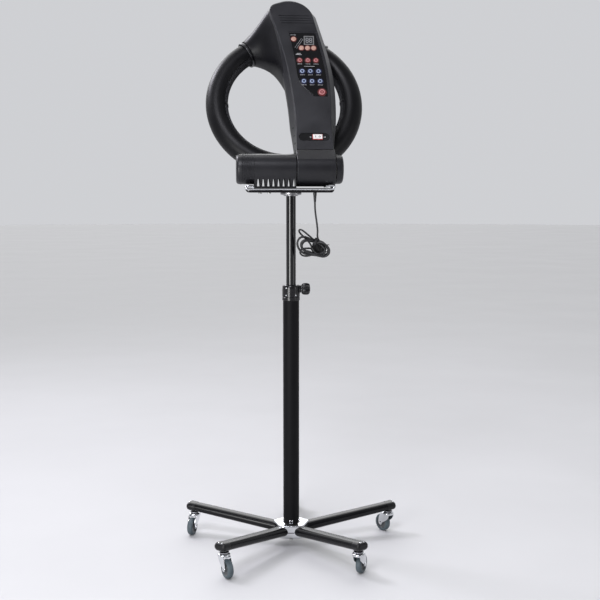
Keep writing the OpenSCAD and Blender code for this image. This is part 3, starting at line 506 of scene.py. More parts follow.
# ---------------------------------------------------------------- castors
# Twin-cheek swivel castors of 50 mm: a pressed and chromed fork under a domed crown that turns on a ball
# race, a riveted axle, and a blue-grey rubber tread moulded round a dark nylon wheel.
tread = moulding("castor_tread", (0.055, 0.075, 0.088), (0.10, 0.13, 0.145), (0.45, 0.62), 700, 0.4, patch=60)
wheel_nylon = moulding("castor_nylon", (0.05, 0.055, 0.06), (0.10, 0.105, 0.11), (0.35, 0.5), 900, 0.2,
                       patch=60)
CASTOR_TURN = [85.8, -110, -65, 60, 125]
CASTOR_REACH, TRAIL, WHEEL_R = 300, 20, 25


def plate(name, outline, front, back):
    """A plate cut to an outline of (sideways, upward) points, from one depth to another."""
    piece = start_point(name, outline[0][0], front, outline[0][1])
    for (x0, z0), (x1, z1) in zip(outline, outline[1:]):
        draw(x1 - x0, 0, z1 - z0)
    bpy.ops.mesh.select_all(action="SELECT")
    bpy.ops.mesh.edge_face_add()
    pull(0, back - front, 0)
    return sound(piece)


def arc(x, z, radius, first, last, steps):
    """Points along an arc, from the first angle to the last, in degrees."""
    turns = [math.radians(first + (last - first) * i / steps) for i in range(steps + 1)]
    return [(x + radius * math.cos(turn), z + radius * math.sin(turn)) for turn in turns]


crown = turned("castor_crown", [(0, 52.6), (15.6, 52.6), (16.6, 53.2), (17, 54.4), (17, 57.6), (16, 59.4),
                                (13.2, 61), (9.5, 61.9), (6, 62), (0, 62)])
cheek_line = ([(-13, 57), (-13.4, 52)] + [(-11.6, 46), (-8, 40), (-1, 34.5), (7, 29.5)]
              + arc(TRAIL, WHEEL_R, 6.6, 165, 345, 10) + [(27.6, 31), (26.8, 38), (24.2, 45.5), (21, 52),
                                                          (17.5, 57)])
cheeks = []
for side in (-1, 1):
    cheek = plate("castor_cheek", cheek_line, side * 9.2, side * 11.4)
    pick(cheek, lambda c, n: abs(n.y) > 0.9)
    bpy.ops.mesh.inset(thickness=0.0011)
    eased(cheek, 0.0004, 2, 40)
    cheeks.append(cheek)
axle = turned("castor_axle", [(0, -13.6), (2.6, -13.5), (4.0, -12.9), (4.4, -11.5), (4.4, -11.2),
                              (2.9, -11.2), (2.9, 11.2), (4.4, 11.2), (4.4, 11.5), (4.0, 12.9), (2.6, 13.5),
                              (0, 13.6)], steps=24)
wheel_place = turn_to((0, 1, 0), (TRAIL, 0, WHEEL_R))
placed(axle, wheel_place)
fork = joined(crown, *cheeks, axle)
dome = turned("castor_dome", [(0, 62.1), (12.6, 62.1), (13.4, 63), (13.2, 64.6), (11.4, 66.4), (8, 67.6),
                              (0, 67.8)])
tyre = turned("castor_tyre", [(17.4, -7.4), (20.5, -7.8), (23.0, -7.2), (24.5, -5.4), (25, -2.6), (25, 2.6),
                              (24.5, 5.4), (23.0, 7.2), (20.5, 7.8), (17.4, 7.4), (17.0, 5.6), (17.0, -5.6),
                              (17.4, -7.4)], steps=64)
placed(tyre, wheel_place)
centre = turned("castor_centre", [(3.1, -8), (6.6, -8), (7.2, -7), (8.2, -5), (14.6, -4.4), (16.2, -6.6),
                                  (17.5, -6.9), (17.5, 6.9), (16.2, 6.6), (14.6, 4.4), (8.2, 5), (7.2, 7),
                                  (6.6, 8), (3.1, 8), (3.1, -8)], steps=48)
placed(centre, wheel_place)
for number, (leg_turn, castor_turn) in enumerate(zip(LEGS, CASTOR_TURN)):
    along = math.radians(leg_turn)
    spot = mm(CASTOR_REACH * math.cos(along), CASTOR_REACH * math.sin(along), 0)
    pose = Matrix.Translation(spot) @ Matrix.Rotation(math.radians(castor_turn), 4, "Z")
    name = str(number + 1)
    fitted(placed(copied(fork, "castor_frame_" + name), pose), chrome, "fork_" + name, "bright_metal",
           "castor_fork_" + name)
    # The cup under each leg takes the darker chrome copy as painted shade
    fitted(placed(copied(dome, "castor_cup_" + name), pose), chrome_shaded, "root", "bright_metal")
    fitted(placed(copied(tyre, "castor_tread_" + name), pose), tread, "wheel_" + name, "castor_tyre",
           "castor_wheel_" + name)
    fitted(placed(copied(centre, "castor_core_" + name), pose), wheel_nylon, "wheel_" + name, "castor_tyre")
for spare in (fork, dome, tyre, centre):
    bpy.data.objects.remove(spare)

# ---------------------------------------------------------------- column and mast
# The column is a 45 mm steel tube in satin black powder coat, and the mast a slimmer tube in gloss black
# enamel that slides in it on two plastic bushes.
powder_coat = moulding("powder_coat", (0.002, 0.002, 0.003), (0.004, 0.004, 0.005), (0.5, 0.6), 900, 0.3,
                       shine=0.16)
column = turned("column", [(22.5, 30.5), (22.5, 721.4), (22.1, 722), (21, 722), (21, 30), (22.1, 30),
                           (22.5, 30.5)], steps=96)
fitted(column, powder_coat, "root", "column_paint", "column_tube")
mast = turned("mast_tube", [(13.5, 440.5), (13.5, 997.6), (13.1, 998.4), (12, 998.4), (12, 440), (13.1, 440),
                            (13.5, 440.5)], steps=96)
mast_lacquer = moulding("mast_lacquer", (0.002, 0.002, 0.003), (0.004, 0.004, 0.005), (0.06, 0.10), 300, 0.04,
                        coat=0.25)
fitted(mast, mast_lacquer, "mast", "mast_paint", "mast")

# ---------------------------------------------------------------- clamp collar and knob
# A gloss black moulded collar with a rounded lip closes the top of the column, held by small bright screws.
# The black lobed knob on its side has a bright threaded spindle, whose end shows in the middle of the grip.
gloss_plastic = moulding("gloss_plastic", (0.004, 0.004, 0.005), (0.008, 0.008, 0.009), (0.16, 0.26), 500,
                         0.12)
KNOB_Z = 732
collar = turned("collar", [(22.9, 700), (24, 700), (24.6, 700.7), (24.6, 709), (24.1, 709.5), (24.1, 710.6),
                           (24.6, 711.1), (24.6, 733), (24.4, 737.5), (23.4, 741.2), (21, 743.6), (18, 744),
                           (14.4, 744), (14.1, 743.6), (14.1, 724), (21.9, 722.6), (22.6, 722), (22.6, 700.3),
                           (22.9, 700)], steps=96)
fitted(collar, gloss_plastic, "root", "gloss_black_plastic", "clamp_collar")
collar_boss = turned("collar_boss", [(6, 0), (9.8, 0), (10.6, 0.8), (11, 2), (11, 13), (6, 13), (6, 0)])
placed(collar_boss, turn_to((-1, 0, 0), (28.4, 0, KNOB_Z)))
fitted(collar_boss, gloss_plastic, "root", "gloss_black_plastic")
collar_screws = []
for turn, height in ((-128, 716), (-128, 736), (-62, 716), (52, 716), (128, 716)):
    screw = turned("collar_screw", [(0, 0), (2.4, 0), (2.3, 0.7), (1.6, 1.2), (0.9, 1.3), (0.7, 0.8),
                                    (0, 0.8)], steps=20)
    aim = math.radians(turn)
    reach = 24.4 if height < KNOB_Z else 24.2
    placed(screw, turn_to((math.cos(aim), math.sin(aim), 0),
                          (reach * math.cos(aim), reach * math.sin(aim), height)))
    collar_screws.append(screw)
collar_screws = gathered("collar_screws", collar_screws)
fitted(collar_screws, chrome, "root", "bolt_steel")


def lofted(name, loops):
    """A closed skin through matching loops of (sideways, depth, upward) points, each bridged to the next."""
    rings = []
    for loop in loops:
        ring = start_point(name, *loop[0])
        for here, there in zip(loop, loop[1:]):
            draw(*(Vector(there) - Vector(here)))
        bpy.ops.mesh.select_all(action="SELECT")
        bpy.ops.mesh.edge_face_add()
        rings.append(ring)
    count = len(loops[0])
    piece = joined(*rings)
    for number in range(len(loops) - 1):
        low, high = number * count, (number + 2) * count
        pick(piece, lambda c, n: False, "VERT")
        bpy.ops.object.mode_set(mode="OBJECT")
        for edge in piece.data.edges:
            edge.select = all(low <= v < high for v in edge.vertices)
        for face in piece.data.polygons:
            face.select = False
        bpy.context.tool_settings.mesh_select_mode = (False, True, False)
        bpy.ops.object.mode_set(mode="EDIT")
        bpy.ops.mesh.bridge_edge_loops()
    return sound(piece)


KNOB_X, KNOB_LOBES, KNOB_SIDES = 29, 7, 98
knob_loops = []
for depth, share in ((0, 0.66), (0.5, 0.78), (2, 0.88), (5, 0.96), (9.5, 1), (14, 1), (18, 0.96),
                     (21.2, 0.86), (23.2, 0.70), (23.8, 0.54), (23.8, 0.40), (22.6, 0.36)):
    loop = []
    for step in range(KNOB_SIDES):
        turn = 2 * math.pi * step / KNOB_SIDES
        radius = share * (15.2 + 1.7 * math.cos(KNOB_LOBES * turn) * min(1, 2.2 * share - 0.9))
        loop.append((KNOB_X + depth, radius * math.cos(turn), KNOB_Z + radius * math.sin(turn)))
    knob_loops.append(loop)
knob = lofted("knob", knob_loops)
fitted(knob, black_plastic, "knob", "black_plastic", "clamp_knob", crease=40)
spindle = turned("knob_spindle", [(0, 0), (4, 0), (4, 14.4), (3.4, 15), (3.4, 38.5), (3.0, 39.4), (1.6, 40.1),
                                  (0, 40.2)], steps=32)
placed(spindle, turn_to((1, 0, 0), (KNOB_X - 15, 0, KNOB_Z)))
washer = turned("knob_washer", [(4.2, 0), (8.6, 0), (9, 0.4), (9, 1.2), (8.6, 1.6), (4.2, 1.6), (4.2, 0)],
                steps=48)
placed(washer, turn_to((1, 0, 0), (KNOB_X - 0.9, 0, KNOB_Z)))
spindle = joined(spindle, washer)
fitted(spindle, chrome, "knob", "bolt_steel")

# ---------------------------------------------------------------- flange and bracket
# A turned zinc flange is pinned to the top of the mast and screwed under the bracket. The bracket is a steel
# channel with a bright chromed rod along each side, whose ends curl up and back. The channel's black under
# the
# rods is a painted reflection: the dark lower half of the chrome rims.
flange_zinc = moulding("flange_zinc", (0.30, 0.30, 0.31), (0.45, 0.45, 0.46), (0.3, 0.42), 500, 0.2,
                       metal=1.0)
flange = turned("flange", [(14, 989.8), (19, 989.8), (19.6, 990.4), (19.6, 991.6), (28, 993.2), (29, 994.2),
                           (29, 998.4), (28.4, 999), (14, 999), (14, 989.8)], steps=96)
fitted(flange, flange_zinc, "head", "flange_metal", "head_flange")

TRAY_FLOOR, TRAY_TOP = 999, 1005
tray_line = ([(108, TRAY_FLOOR)] + arc(108, 1008, 9, -70, 55, 7) + arc(108, 1008, 6, 45, -80, 7)
             + [(106, 1002), (-112, 1002)] + arc(-114, 1010, 8, 250, 175, 5)
             + arc(-114, 1010, 11, 175, 250, 5)
             + [(-112, TRAY_FLOOR), (108, TRAY_FLOOR)])
tray = plate("bracket_tray", tray_line[:-1], -32, 32)
tray_sides = []
for side in (-1, 1):
    wall = block("tray_side", (-116, side * 31.5 - 1.3, TRAY_FLOOR + 0.3), (112, side * 31.5 + 1.3, TRAY_TOP))
    pick(wall, lambda c, n: n.z > 0.9)
    bpy.ops.transform.resize(value=(0.985, 1, 1))
    tray_sides.append(wall)
tray = joined(tray, *tray_sides)
eased(tray, 0.0006, 2, 40)
# The channel's black paint under the rods is a painted reflection of the dark lower half of the chrome rims
fitted(tray, powder_coat, "head", "leg_paint")

RAIL_Y, RAIL_R = 32.3, 0.0031
rail_route = ([(-103, 1014.4), (-109, 1016.6), (-116, 1017.6), (-122, 1016.4), (-125, 1012.8),
               (-123.6, 1009.6), (-118, 1008.4), (-104, 1008.3)] + [(x, 1008.3) for x in range(-85, 100, 26)]
              + [(108, 1008.5), (114.5, 1009.6), (118, 1013), (116.6, 1017.6), (110, 1019), (102, 1017.8),
                 (94, 1015.6)])
rails = []
for side in (-1, 1):
    rail = wire("bracket_rail", [mm(x, side * RAIL_Y, z) for x, z in rail_route], RAIL_R, 5, capped=True)
    hold(rail)
    bpy.ops.object.convert(target="MESH")
    pick(rail, lambda c, n: True)
    rails.append(sound(rail, merge=True))
rails = gathered("bracket_rails", rails)
fitted(rails, chrome, "head", "bright_metal", "bracket", crease=50)

# ---------------------------------------------------------------- hinge barrel
# The barrel is a charcoal ABS moulding on the hinge shaft: a round housing on a narrow foot with eight
# tapered vents through both of its walls, closed at each end by a pressed-on cap. The left cap has fine
# turned grooves.
charcoal = moulding("charcoal_abs", (0.006, 0.006, 0.008), (0.011, 0.011, 0.014), (0.32, 0.40), 1300, 0.1,
                    shine=0.4)
HINGE_Z, BARREL_R = 1063, 41.5
HOUSING_X0, HOUSING_X1 = -102, 13.1
SIDEWAYS = Matrix.Rotation(math.radians(90), 4, "Z")


def carved(piece, cutter, operation="DIFFERENCE"):
    """Cuts one closed mesh out of another, or unites them, and drops the cutter."""
    worked(piece, "BOOLEAN", object=cutter, operation=operation, solver="EXACT")
    bpy.data.objects.remove(cutter)
    return piece


def foot_line(radius, half, low):
    """Side view of the barrel: a circle that runs down into a narrow foot."""
    return arc(0, HINGE_Z, radius, -38, 218, 56) + [(-half, HINGE_Z - 38), (-half, low), (half, low),
                                                    (half, HINGE_Z - 38)]


housing = placed(plate("barrel_housing", foot_line(BARREL_R, 28.5, 1002.4), -HOUSING_X1, -HOUSING_X0),
                 SIDEWAYS)
hollow = placed(plate("hollow", foot_line(BARREL_R - 3.5, 25, 1006), -HOUSING_X1 + 5, -HOUSING_X0 + 5),
                SIDEWAYS)
eased(housing, 0.0012, 3, 40)
carved(housing, hollow)
for number in range(8):
    middle = 7.6 - 14 * number
    slot = plate("slot", [(middle - 4.2, 1016.2), (middle + 4.2, 1016.2), (middle + 2.6, 1033)]
                 + arc(middle, 1034, 2.5, 0, 180, 8) + [(middle - 2.6, 1033)], -60, 60)
    carved(housing, slot)
fitted(housing, charcoal, "head", "charcoal_plastic", "barrel_housing")

left_line = [(0, 0), (30, 0), (35.5, 0.5), (38.6, 2.2), (40.4, 5), (41.3, 9), (41.5, 14)]
for groove in range(6):
    at = 16 + 4.8 * groove
    left_line += [(41.5, at), (40.7, at + 0.5), (40.7, at + 1.5), (41.5, at + 2)]
left_line += [(41.5, 48.6), (41.1, 49), (38, 49), (38, 5), (0, 5)]
cap_left = turned("barrel_cap_left", left_line, steps=96)
placed(cap_left, turn_to((1, 0, 0), (-151, 0, HINGE_Z)))
fitted(cap_left, charcoal, "head", "charcoal_plastic", "barrel_cap_left")
cap_right = turned("barrel_cap_right", [(0, 0), (39.8, 0), (40.4, 0.5), (40.5, 1.4), (40.5, 9), (40, 13),
                                        (38.4, 16.4), (35.6, 18.8), (32, 19.8), (27, 20), (26.4, 19.2),
                                        (0, 19.2)], steps=96)
placed(cap_right, turn_to((1, 0, 0), (123, 0, HINGE_Z)))
fitted(cap_right, charcoal, "head", "charcoal_plastic", "barrel_cap_right")

# ---------------------------------------------------------------- arm sleeve
# The arm's foot is a charcoal moulding that turns on the hinge shaft: round below, with a short ramp that
# carries the face of the arm down onto the cylinder.
HEAD = Matrix.Translation(mm(0, 0, HINGE_Z)) @ Matrix.Rotation(math.radians(-24.5), 4, "X")
SLEEVE_R, ARM_FOOT = 47.5, 46.5
FACE, JOINT, REAR = -30, 2, 34
sleeve_line = arc(0, 0, SLEEVE_R, 168.5, 404.3, 52) + [(REAR, ARM_FOOT - 0.5), (FACE, ARM_FOOT - 0.5)]
sleeve = placed(plate("arm_sleeve", sleeve_line, -120.9, -14.3), SIDEWAYS)
eased(sleeve, 0.0022, 4, 60)
bore = turned("bore", [(0, -10), (10.3, -10), (10.3, 120), (0, 120)], steps=48)
carved(sleeve, placed(bore, turn_to((1, 0, 0), (12, 0, 0))))
placed(sleeve, HEAD)
fitted(sleeve, charcoal, "arm", "charcoal_plastic", "arm_sleeve")

# ---------------------------------------------------------------- arm front cover
# The front half of the arm, a satin charcoal shell that sweeps to the left and ends in a rolled-over dome.
# Its sides flare back from the face. The face carries a shallow pocket for the control panel, a switch well
# and four louvres.
DOME_V, DOME_TURN, DOME_HALF, DOME_RISE, DOME_LEFT_R, DOME_RIGHT_R = 500, math.radians(18), 56.5, 25, 26, 75
BULGE, BULGE_FULL = 14, 320
SIDE_STEPS, RIGHT_TOP, LEFT_TOP = 18, 430, 464


def mid(v):
    """Where the arm's middle line lies, which sweeps to the left as it rises."""
    return 67.05 - max(0, v - 110) ** 2 / 2330


def half(v):
    """Half of the arm's width."""
    return 51.5 + 6 * (v - ARM_FOOT) / 478.5


def bulge(v):
    """How much further the right side stands out beside the control panel."""
    t = max(0, min(1, (v - ARM_FOOT) / (BULGE_FULL - ARM_FOOT)))
    return BULGE * t * t * (3 - 2 * t)


def dome(s, t):
    """A point of the rolled-over top, from its place along and across the tilted dome."""
    return (mid(DOME_V) + s * math.cos(DOME_TURN) - t * math.sin(DOME_TURN),
            DOME_V + s * math.sin(DOME_TURN) + t * math.cos(DOME_TURN))


def arm_line(left, right, top, low=ARM_FOOT, ease=90, swell=1):
    """Outline of the arm, moved in by these amounts at its sides and top, which ease in from its foot."""
    def grow(v):
        return 0.2 + 0.8 * max(0, min(1, (v - ARM_FOOT) / ease))
    line = []
    for i in range(SIDE_STEPS + 1):
        v = low + (RIGHT_TOP - low) * i / SIDE_STEPS
        line.append((mid(v) + half(v) + swell * bulge(v) - right * grow(v), v))
    for i in range(1, 13):
        turn, inset = math.radians(90 * i / 12), right + (top - right) * i / 12
        line.append(dome(DOME_HALF + swell * BULGE - DOME_RIGHT_R + (DOME_RIGHT_R - inset) * math.cos(turn),
                         DOME_RISE - DOME_RIGHT_R + (DOME_RIGHT_R - inset) * math.sin(turn)))
    for i in range(1, 9):
        turn, inset = math.radians(90 + 90 * i / 8), top + (left - top) * i / 8
        line.append(dome(DOME_LEFT_R + 4 - DOME_HALF + (DOME_LEFT_R - inset) * math.cos(turn),
                         DOME_RISE - DOME_LEFT_R + (DOME_LEFT_R - inset) * math.sin(turn)))
    for i in range(SIDE_STEPS + 1):
        v = LEFT_TOP - (LEFT_TOP - low) * i / SIDE_STEPS
        line.append((mid(v) - half(v) + left * grow(v), v))
    return line


def arm_skin(name, rings, swell=1):
    """A closed skin along the arm, from rings of (moved in at left, right and top, depth, foot)."""
    return lofted(name, [[(x, depth, v) for x, v in arm_line(left, right, top, low, swell=swell)]
                         for left, right, top, depth, low in rings])


FRONT_RINGS = [(3.2, 10.6, 13, FACE, ARM_FOOT), (1.5, 8.8, 7, FACE + 0.4, ARM_FOOT),
               (0.4, 7.8, 3, FACE + 1.6, ARM_FOOT), (0, 7.2, 0.6, FACE + 3.4, ARM_FOOT),
               (-0.8, 6, -0.4, FACE + 6.5, ARM_FOOT)]
front_cover = arm_skin("arm_front_cover", FRONT_RINGS + [(-11.4, -8.2, -0.6, JOINT - 0.9, ARM_FOOT),
                                                         (-11.2, -8, -0.4, JOINT - 0.2, ARM_FOOT)])
carved(front_cover, arm_skin("cavity", [(5, 15, 16, FACE + 4.2, ARM_FOOT + 3),
                                        (-8, -4, 3, JOINT + 1, ARM_FOOT + 3)]))

# Shallow pocket round the control panel, with rounded corners
PANEL_FOOT, PANEL_TOP, PANEL_CUT = 211, 416, 267


def panel_left(v):
    return mid(v) - half(v) + 24 + 11 * (v - PANEL_CUT) / (PANEL_TOP - PANEL_CUT)


def panel_right(v):
    return mid(v) + half(v) + bulge(v) - 17


def pocket_line(out, low):
    """The panel's outline moved out by this much, down to this height, with round lower corners."""
    left, right, rise = panel_left(low) - out, panel_right(low) + out, PANEL_TOP - low - 9
    line = [(panel_right(v) + out, v) for v in [low + 9 + rise * i / 12 for i in range(13)]]
    line += arc(panel_right(PANEL_TOP) + out - 4, PANEL_TOP + out - 4, 4, 10, 80, 4)
    line += arc(panel_left(PANEL_TOP) - out + 4, PANEL_TOP + out - 4, 4, 100, 170, 4)
    line += [(panel_left(v) - out, v) for v in [PANEL_TOP - rise * i / 12 for i in range(1, 13)]]
    return line + arc(left + 8, low + 8, 8, 190, 260, 4) + arc(right - 8, low + 8, 8, 280, 350, 4)


carved(front_cover, plate("pocket", pocket_line(3.4, 201.5), FACE - 5, FACE + 0.9))


def panel_line(out):
    """Outline of the panel itself, whose lower left corner is cut away."""
    right_rise, left_rise = PANEL_TOP - PANEL_FOOT, PANEL_TOP - PANEL_CUT
    line = [(panel_right(v) + out, v) for v in [PANEL_FOOT + right_rise * i / 12 for i in range(13)]]
    line += [(panel_left(v) - out, v) for v in [PANEL_TOP - left_rise * i / 9 for i in range(10)]]
    cut = panel_left(PANEL_CUT)
    return line + [(cut + 10 - out, PANEL_CUT - 19 - out), (cut + 40 - out, PANEL_FOOT + 3 - out),
                   (cut + 46 - out, PANEL_FOOT - out)]


carved(front_cover, plate("panel_seat", panel_line(0.25), FACE - 5, FACE + 3.2))


def stadium(x, z, length, height):
    """A slot's outline with round ends."""
    reach = (length - height) / 2
    return arc(x + reach, z, height / 2, -90, 90, 12) + arc(x - reach, z, height / 2, 90, 270, 12)


WELL_X, WELL_V = 65, 84
carved(front_cover, plate("switch_well", stadium(WELL_X, WELL_V, 86, 24), FACE - 5, FACE + 2.4))
for height in (448, 456, 464, 472):
    side, right_end = mid(height) + 8, 55 - 0.3 * (height - 448)
    carved(front_cover, plate("louvre", [(side - 42, height - 1), (side + right_end, height - 1),
                                         (side + right_end - 1, height + 1), (side - 42, height + 1)],
                              FACE - 5, FACE + 1.5))
eased(front_cover, 0.0005, 2, 55)
placed(front_cover, HEAD)
# A lighter copy of the charcoal plastic, as painted light on the face that the lamps fall on
charcoal_face_painted_light = moulding("charcoal_face_painted_light", (0.010, 0.010, 0.013), (0.017, 0.017, 0.021), (0.30, 0.38), 1300,
                         0.2, shine=0.5)
fitted(front_cover, charcoal_face_painted_light, "arm", "charcoal_plastic", "arm_front_cover", crease=28)

# ---------------------------------------------------------------- control panel
# A gloss black acrylic fascia set in the pocket, with a small dark display in a grey frame, round backlit
# keys in peach, red and blue, and fine printed lines. The marks are plain dashes and dots, with no lettering.
acrylic = moulding("panel_acrylic", (0.002, 0.002, 0.003), (0.004, 0.004, 0.005), (0.05, 0.12), 300, 0.05)
fascia = plate("panel_fascia", panel_line(0), FACE + 0.5, FACE + 3)
eased(fascia, 0.0006, 2, 60)
DISPLAY_X, DISPLAY_V = mid(391) + 28.5, 391
carved(fascia, block("display_hole", (DISPLAY_X - 14.8, FACE - 5, DISPLAY_V - 14.8),
                     (DISPLAY_X + 14.8, FACE + 9, DISPLAY_V + 14.8)))
placed(fascia, HEAD)
fitted(fascia, acrylic, "arm", "panel_gloss", "panel_fascia")

# Display: a grey bezel round a dark window, with two plain seven-bar figures
display_frame = moulding("display_frame", (0.17, 0.17, 0.17), (0.23, 0.23, 0.23), (0.3, 0.4), 900, 0.1)
display_glass = moulding("display_glass", (0.02, 0.022, 0.025), (0.04, 0.042, 0.045), (0.12, 0.2), 400, 0.05,
                         shine=0.3)
ink_pale = moulding("ink_pale", (0.30, 0.30, 0.31), (0.42, 0.42, 0.43), (0.4, 0.5), 900, 0.1)
bezel = block("display", (DISPLAY_X - 14.5, FACE - 0.2, DISPLAY_V - 14.5),
              (DISPLAY_X + 14.5, FACE + 9, DISPLAY_V + 14.5))
pick(bezel, lambda c, n: n.y < -0.9)
bpy.ops.mesh.inset(thickness=0.0026)
pull(0, 0.9, 0)
eased(bezel, 0.0004, 2, 60)
placed(bezel, HEAD)
fitted(bezel, display_frame, "arm", "display_grey", "display")
window = block("display_window", (DISPLAY_X - 11.8, FACE + 0.4, DISPLAY_V - 11.8),
               (DISPLAY_X + 11.8, FACE + 2, DISPLAY_V + 11.8))
pick(window, lambda c, n: n.y < -0.9)
bpy.ops.mesh.inset(thickness=0.0006)
pull(0, -0.1, 0)
placed(window, HEAD)
fitted(window, display_glass, "arm", "display_grey")


def dash(x, v, wide, high, depth=None, turn=0):
    """A thin printed bar, centred at this place on the face."""
    depth = FACE + 0.5 if depth is None else depth
    bar = block("dash", (-wide / 2, -0.12, -high / 2), (wide / 2, 0.05, high / 2))
    return placed(bar, Matrix.Translation(mm(x, depth, v)) @ Matrix.Rotation(-turn, 4, "Y"))


figures = []
for figure in (-5, 5):
    for bar_x, bar_v, wide, high in ((0, 7, 5, 1.5), (0, 0, 5, 1.5), (0, -7, 5, 1.5), (-3.2, 3.5, 1.5, 5.4),
                                     (3.2, 3.5, 1.5, 5.4), (-3.2, -3.5, 1.5, 5.4), (3.2, -3.5, 1.5, 5.4)):
        figures.append(dash(DISPLAY_X + figure + bar_x, DISPLAY_V + bar_v, wide, high, FACE + 0.3))
figures = placed(gathered("display_figures", figures), HEAD)
fitted(figures, ink_pale, "arm", "display_grey")


def glowing(name, colour, edge, strength):
    """Backlit translucent plastic, of one colour with deeper patches."""
    made = moulding(name, edge, colour, (0.3, 0.4), 600, 0.15, coat=0.3, patch=260)
    shader = made.node_tree.nodes["Principled BSDF"]
    shader.inputs["Emission Color"].default_value = (*colour, 1)
    shader.inputs["Emission Strength"].default_value = strength
    return made


peach = glowing("key_peach", (0.52, 0.33, 0.27), (0.40, 0.22, 0.17), 0.08)
red = glowing("key_red", (0.20, 0.018, 0.020), (0.12, 0.008, 0.010), 0.05)
pink = glowing("key_pink", (0.50, 0.22, 0.22), (0.42, 0.16, 0.17), 0.08)
navy = glowing("key_navy", (0.008, 0.014, 0.055), (0.005, 0.009, 0.035), 0.05)
sky = glowing("key_sky", (0.34, 0.42, 0.60), (0.28, 0.35, 0.52), 0.12)
glow_red = glowing("halo_red", (0.10, 0.008, 0.006), (0.06, 0.005, 0.004), 0.1)
glow_navy = glowing("halo_navy", (0.008, 0.012, 0.06), (0.006, 0.008, 0.04), 0.1)
KEY_R, STOP_R = 7, 10.5
# Sideways place of the first key from the arm's middle, height, pitch, cap, mark, halo and material slot
KEYS = {"key_round": (-14, 395, 0, peach, None, glow_red, "key_orange"),
        "key_time": (0.5, 366, 17.5, peach, None, glow_red, "key_orange"),
        "key_program": (-14, 325.5, 23, red, pink, glow_red, "key_red"),
        "key_heat": (-14, 290.5, 23, navy, sky, glow_navy, "key_blue"),
        "key_zone": (-15, 258.5, 23, navy, sky, glow_navy, "key_blue"),
        "key_stop": (31, 224, 0, red, pink, glow_red, "key_red")}
prints, halos = [], {glow_red: [], glow_navy: []}
for name, (first, v, pitch, cap_finish, mark_finish, halo_finish, slot) in KEYS.items():
    radius = STOP_R if name == "key_stop" else KEY_R
    for number in range(3 if pitch else 1):
        node = "%s_%d" % (name, number + 1) if pitch else name
        x = mid(v) + first + pitch * number
        spot = HEAD @ turn_to((0, -1, 0), (x, FACE, v))
        cap = turned(node, [(0, -7), (radius - 0.1, -7), (radius - 0.1, 0.1), (radius - 0.35, 0.6),
                            (radius - 1.1, 0.95), (radius - 2.4, 1.05), (0, 1.1)], steps=40)
        fitted(placed(cap, spot), cap_finish, node, slot, node)
        if mark_finish:
            rim, hole = radius * 0.82, radius * 0.5
            mark = turned(node + "_mark", [(hole, 0.9), (hole, 1.25), (rim, 1.25), (rim, 0.9), (hole, 0.9)],
                          steps=32)
            if mark_finish is pink:
                dot = turned("dot", [(0, 0.9), (radius * 0.2, 0.9), (radius * 0.2, 1.25), (0, 1.25)],
                             steps=20)
                mark = joined(mark, dot)
            fitted(placed(mark, spot), mark_finish, node, slot)
        halo = turned("halo", [(radius + 0.35, -0.55), (radius + 0.35, -0.42), (radius + 2.3, -0.42),
                               (radius + 2.3, -0.55), (radius + 0.35, -0.55)], steps=40)
        halos[halo_finish].append(placed(halo, spot))
        if mark_finish and name != "key_stop":
            prints += [dash(x - 2.6, v - 11.4, 8.4, 1.4), dash(x + 4.6, v - 11.4, 4.4, 1.4)]
for finish, group in halos.items():
    fitted(gathered(finish.name + "s", group), finish, "arm", "panel_gloss")

# Printed lines: a slanted lamp window, a small fan of bars and plain dashes over the keys
for lift in (-2.2, 2.2):
    prints.append(dash(mid(381) - 2.5 + lift, 381 - lift * 0.6, 36, 0.9, turn=math.radians(58)))
prints += [dash(mid(408) - 16, 408.5, 6, 1.4), dash(mid(408) - 7.5, 408.5, 7, 1.4),
           dash(mid(345) - 12.5, 348.6, 10, 1.6), dash(mid(345) - 12.5, 346.4, 14, 1.6),
           dash(mid(345) - 12.5, 344.2, 17, 1.6), dash(mid(306) + 9, 306.5, 30, 1.5)]
prints = placed(gathered("panel_print", prints), HEAD)
fitted(prints, ink_pale, "arm", "display_grey")

# ---------------------------------------------------------------- slide switch
# A white rocker-shaped slide in a red surround, which runs along a black liner set in the round-ended well.
liner = plate("switch_liner", stadium(WELL_X, WELL_V, 85.4, 23.4), FACE + 1.2, FACE + 2.3)
fitted(placed(liner, HEAD), gloss_plastic, "arm", "gloss_black_plastic")
SWITCH_X = 74.5
surround = plate("switch_surround", [(SWITCH_X + a * 14.2, WELL_V + b * 8.2) for a, b in
                                     ((-1, -1), (1, -1), (1, 1), (-1, 1))], FACE - 0.3, FACE + 0.9)
worked(surround, "BEVEL", width=0.0007, segments=3)
placed(surround, HEAD)
switch_red = moulding("switch_red", (0.40, 0.015, 0.015), (0.55, 0.03, 0.03), (0.28, 0.4), 700, 0.15)
fitted(surround, switch_red, "slider", "switch_white", "slide_switch")
switch_white = moulding("switch_white", (0.78, 0.74, 0.73), (0.88, 0.85, 0.84), (0.3, 0.4), 700, 0.15)
rocker = block("switch_face", (SWITCH_X - 12.8, FACE - 2.2, WELL_V - 6.8),
               (SWITCH_X + 12.8, FACE - 0.2, WELL_V + 6.8))
pick(rocker, lambda c, n: n.y < -0.9)
bpy.ops.mesh.inset(thickness=0.0012)
pull(0, -0.4, 0)
eased(rocker, 0.0006, 3, 30)
fitted(placed(rocker, HEAD), switch_white, "slider", "switch_white")
zero_mark = turned("switch_marks", [(1.6, 2.55), (1.6, 2.75), (2.8, 2.75), (2.8, 2.55), (1.6, 2.55)],
                   steps=28)
one_mark = placed(dash(0, 0, 1.2, 5.4, 0),
                  Matrix.Translation(mm(-11.5, 0, 2.65)) @ Matrix.Rotation(math.pi / 2, 4, "X"))
marks = joined(zero_mark, one_mark)
placed(marks, HEAD @ turn_to((0, -1, 0), (SWITCH_X + 5.6, FACE, WELL_V)))
fitted(marks, black_plastic, "slider", "switch_white")
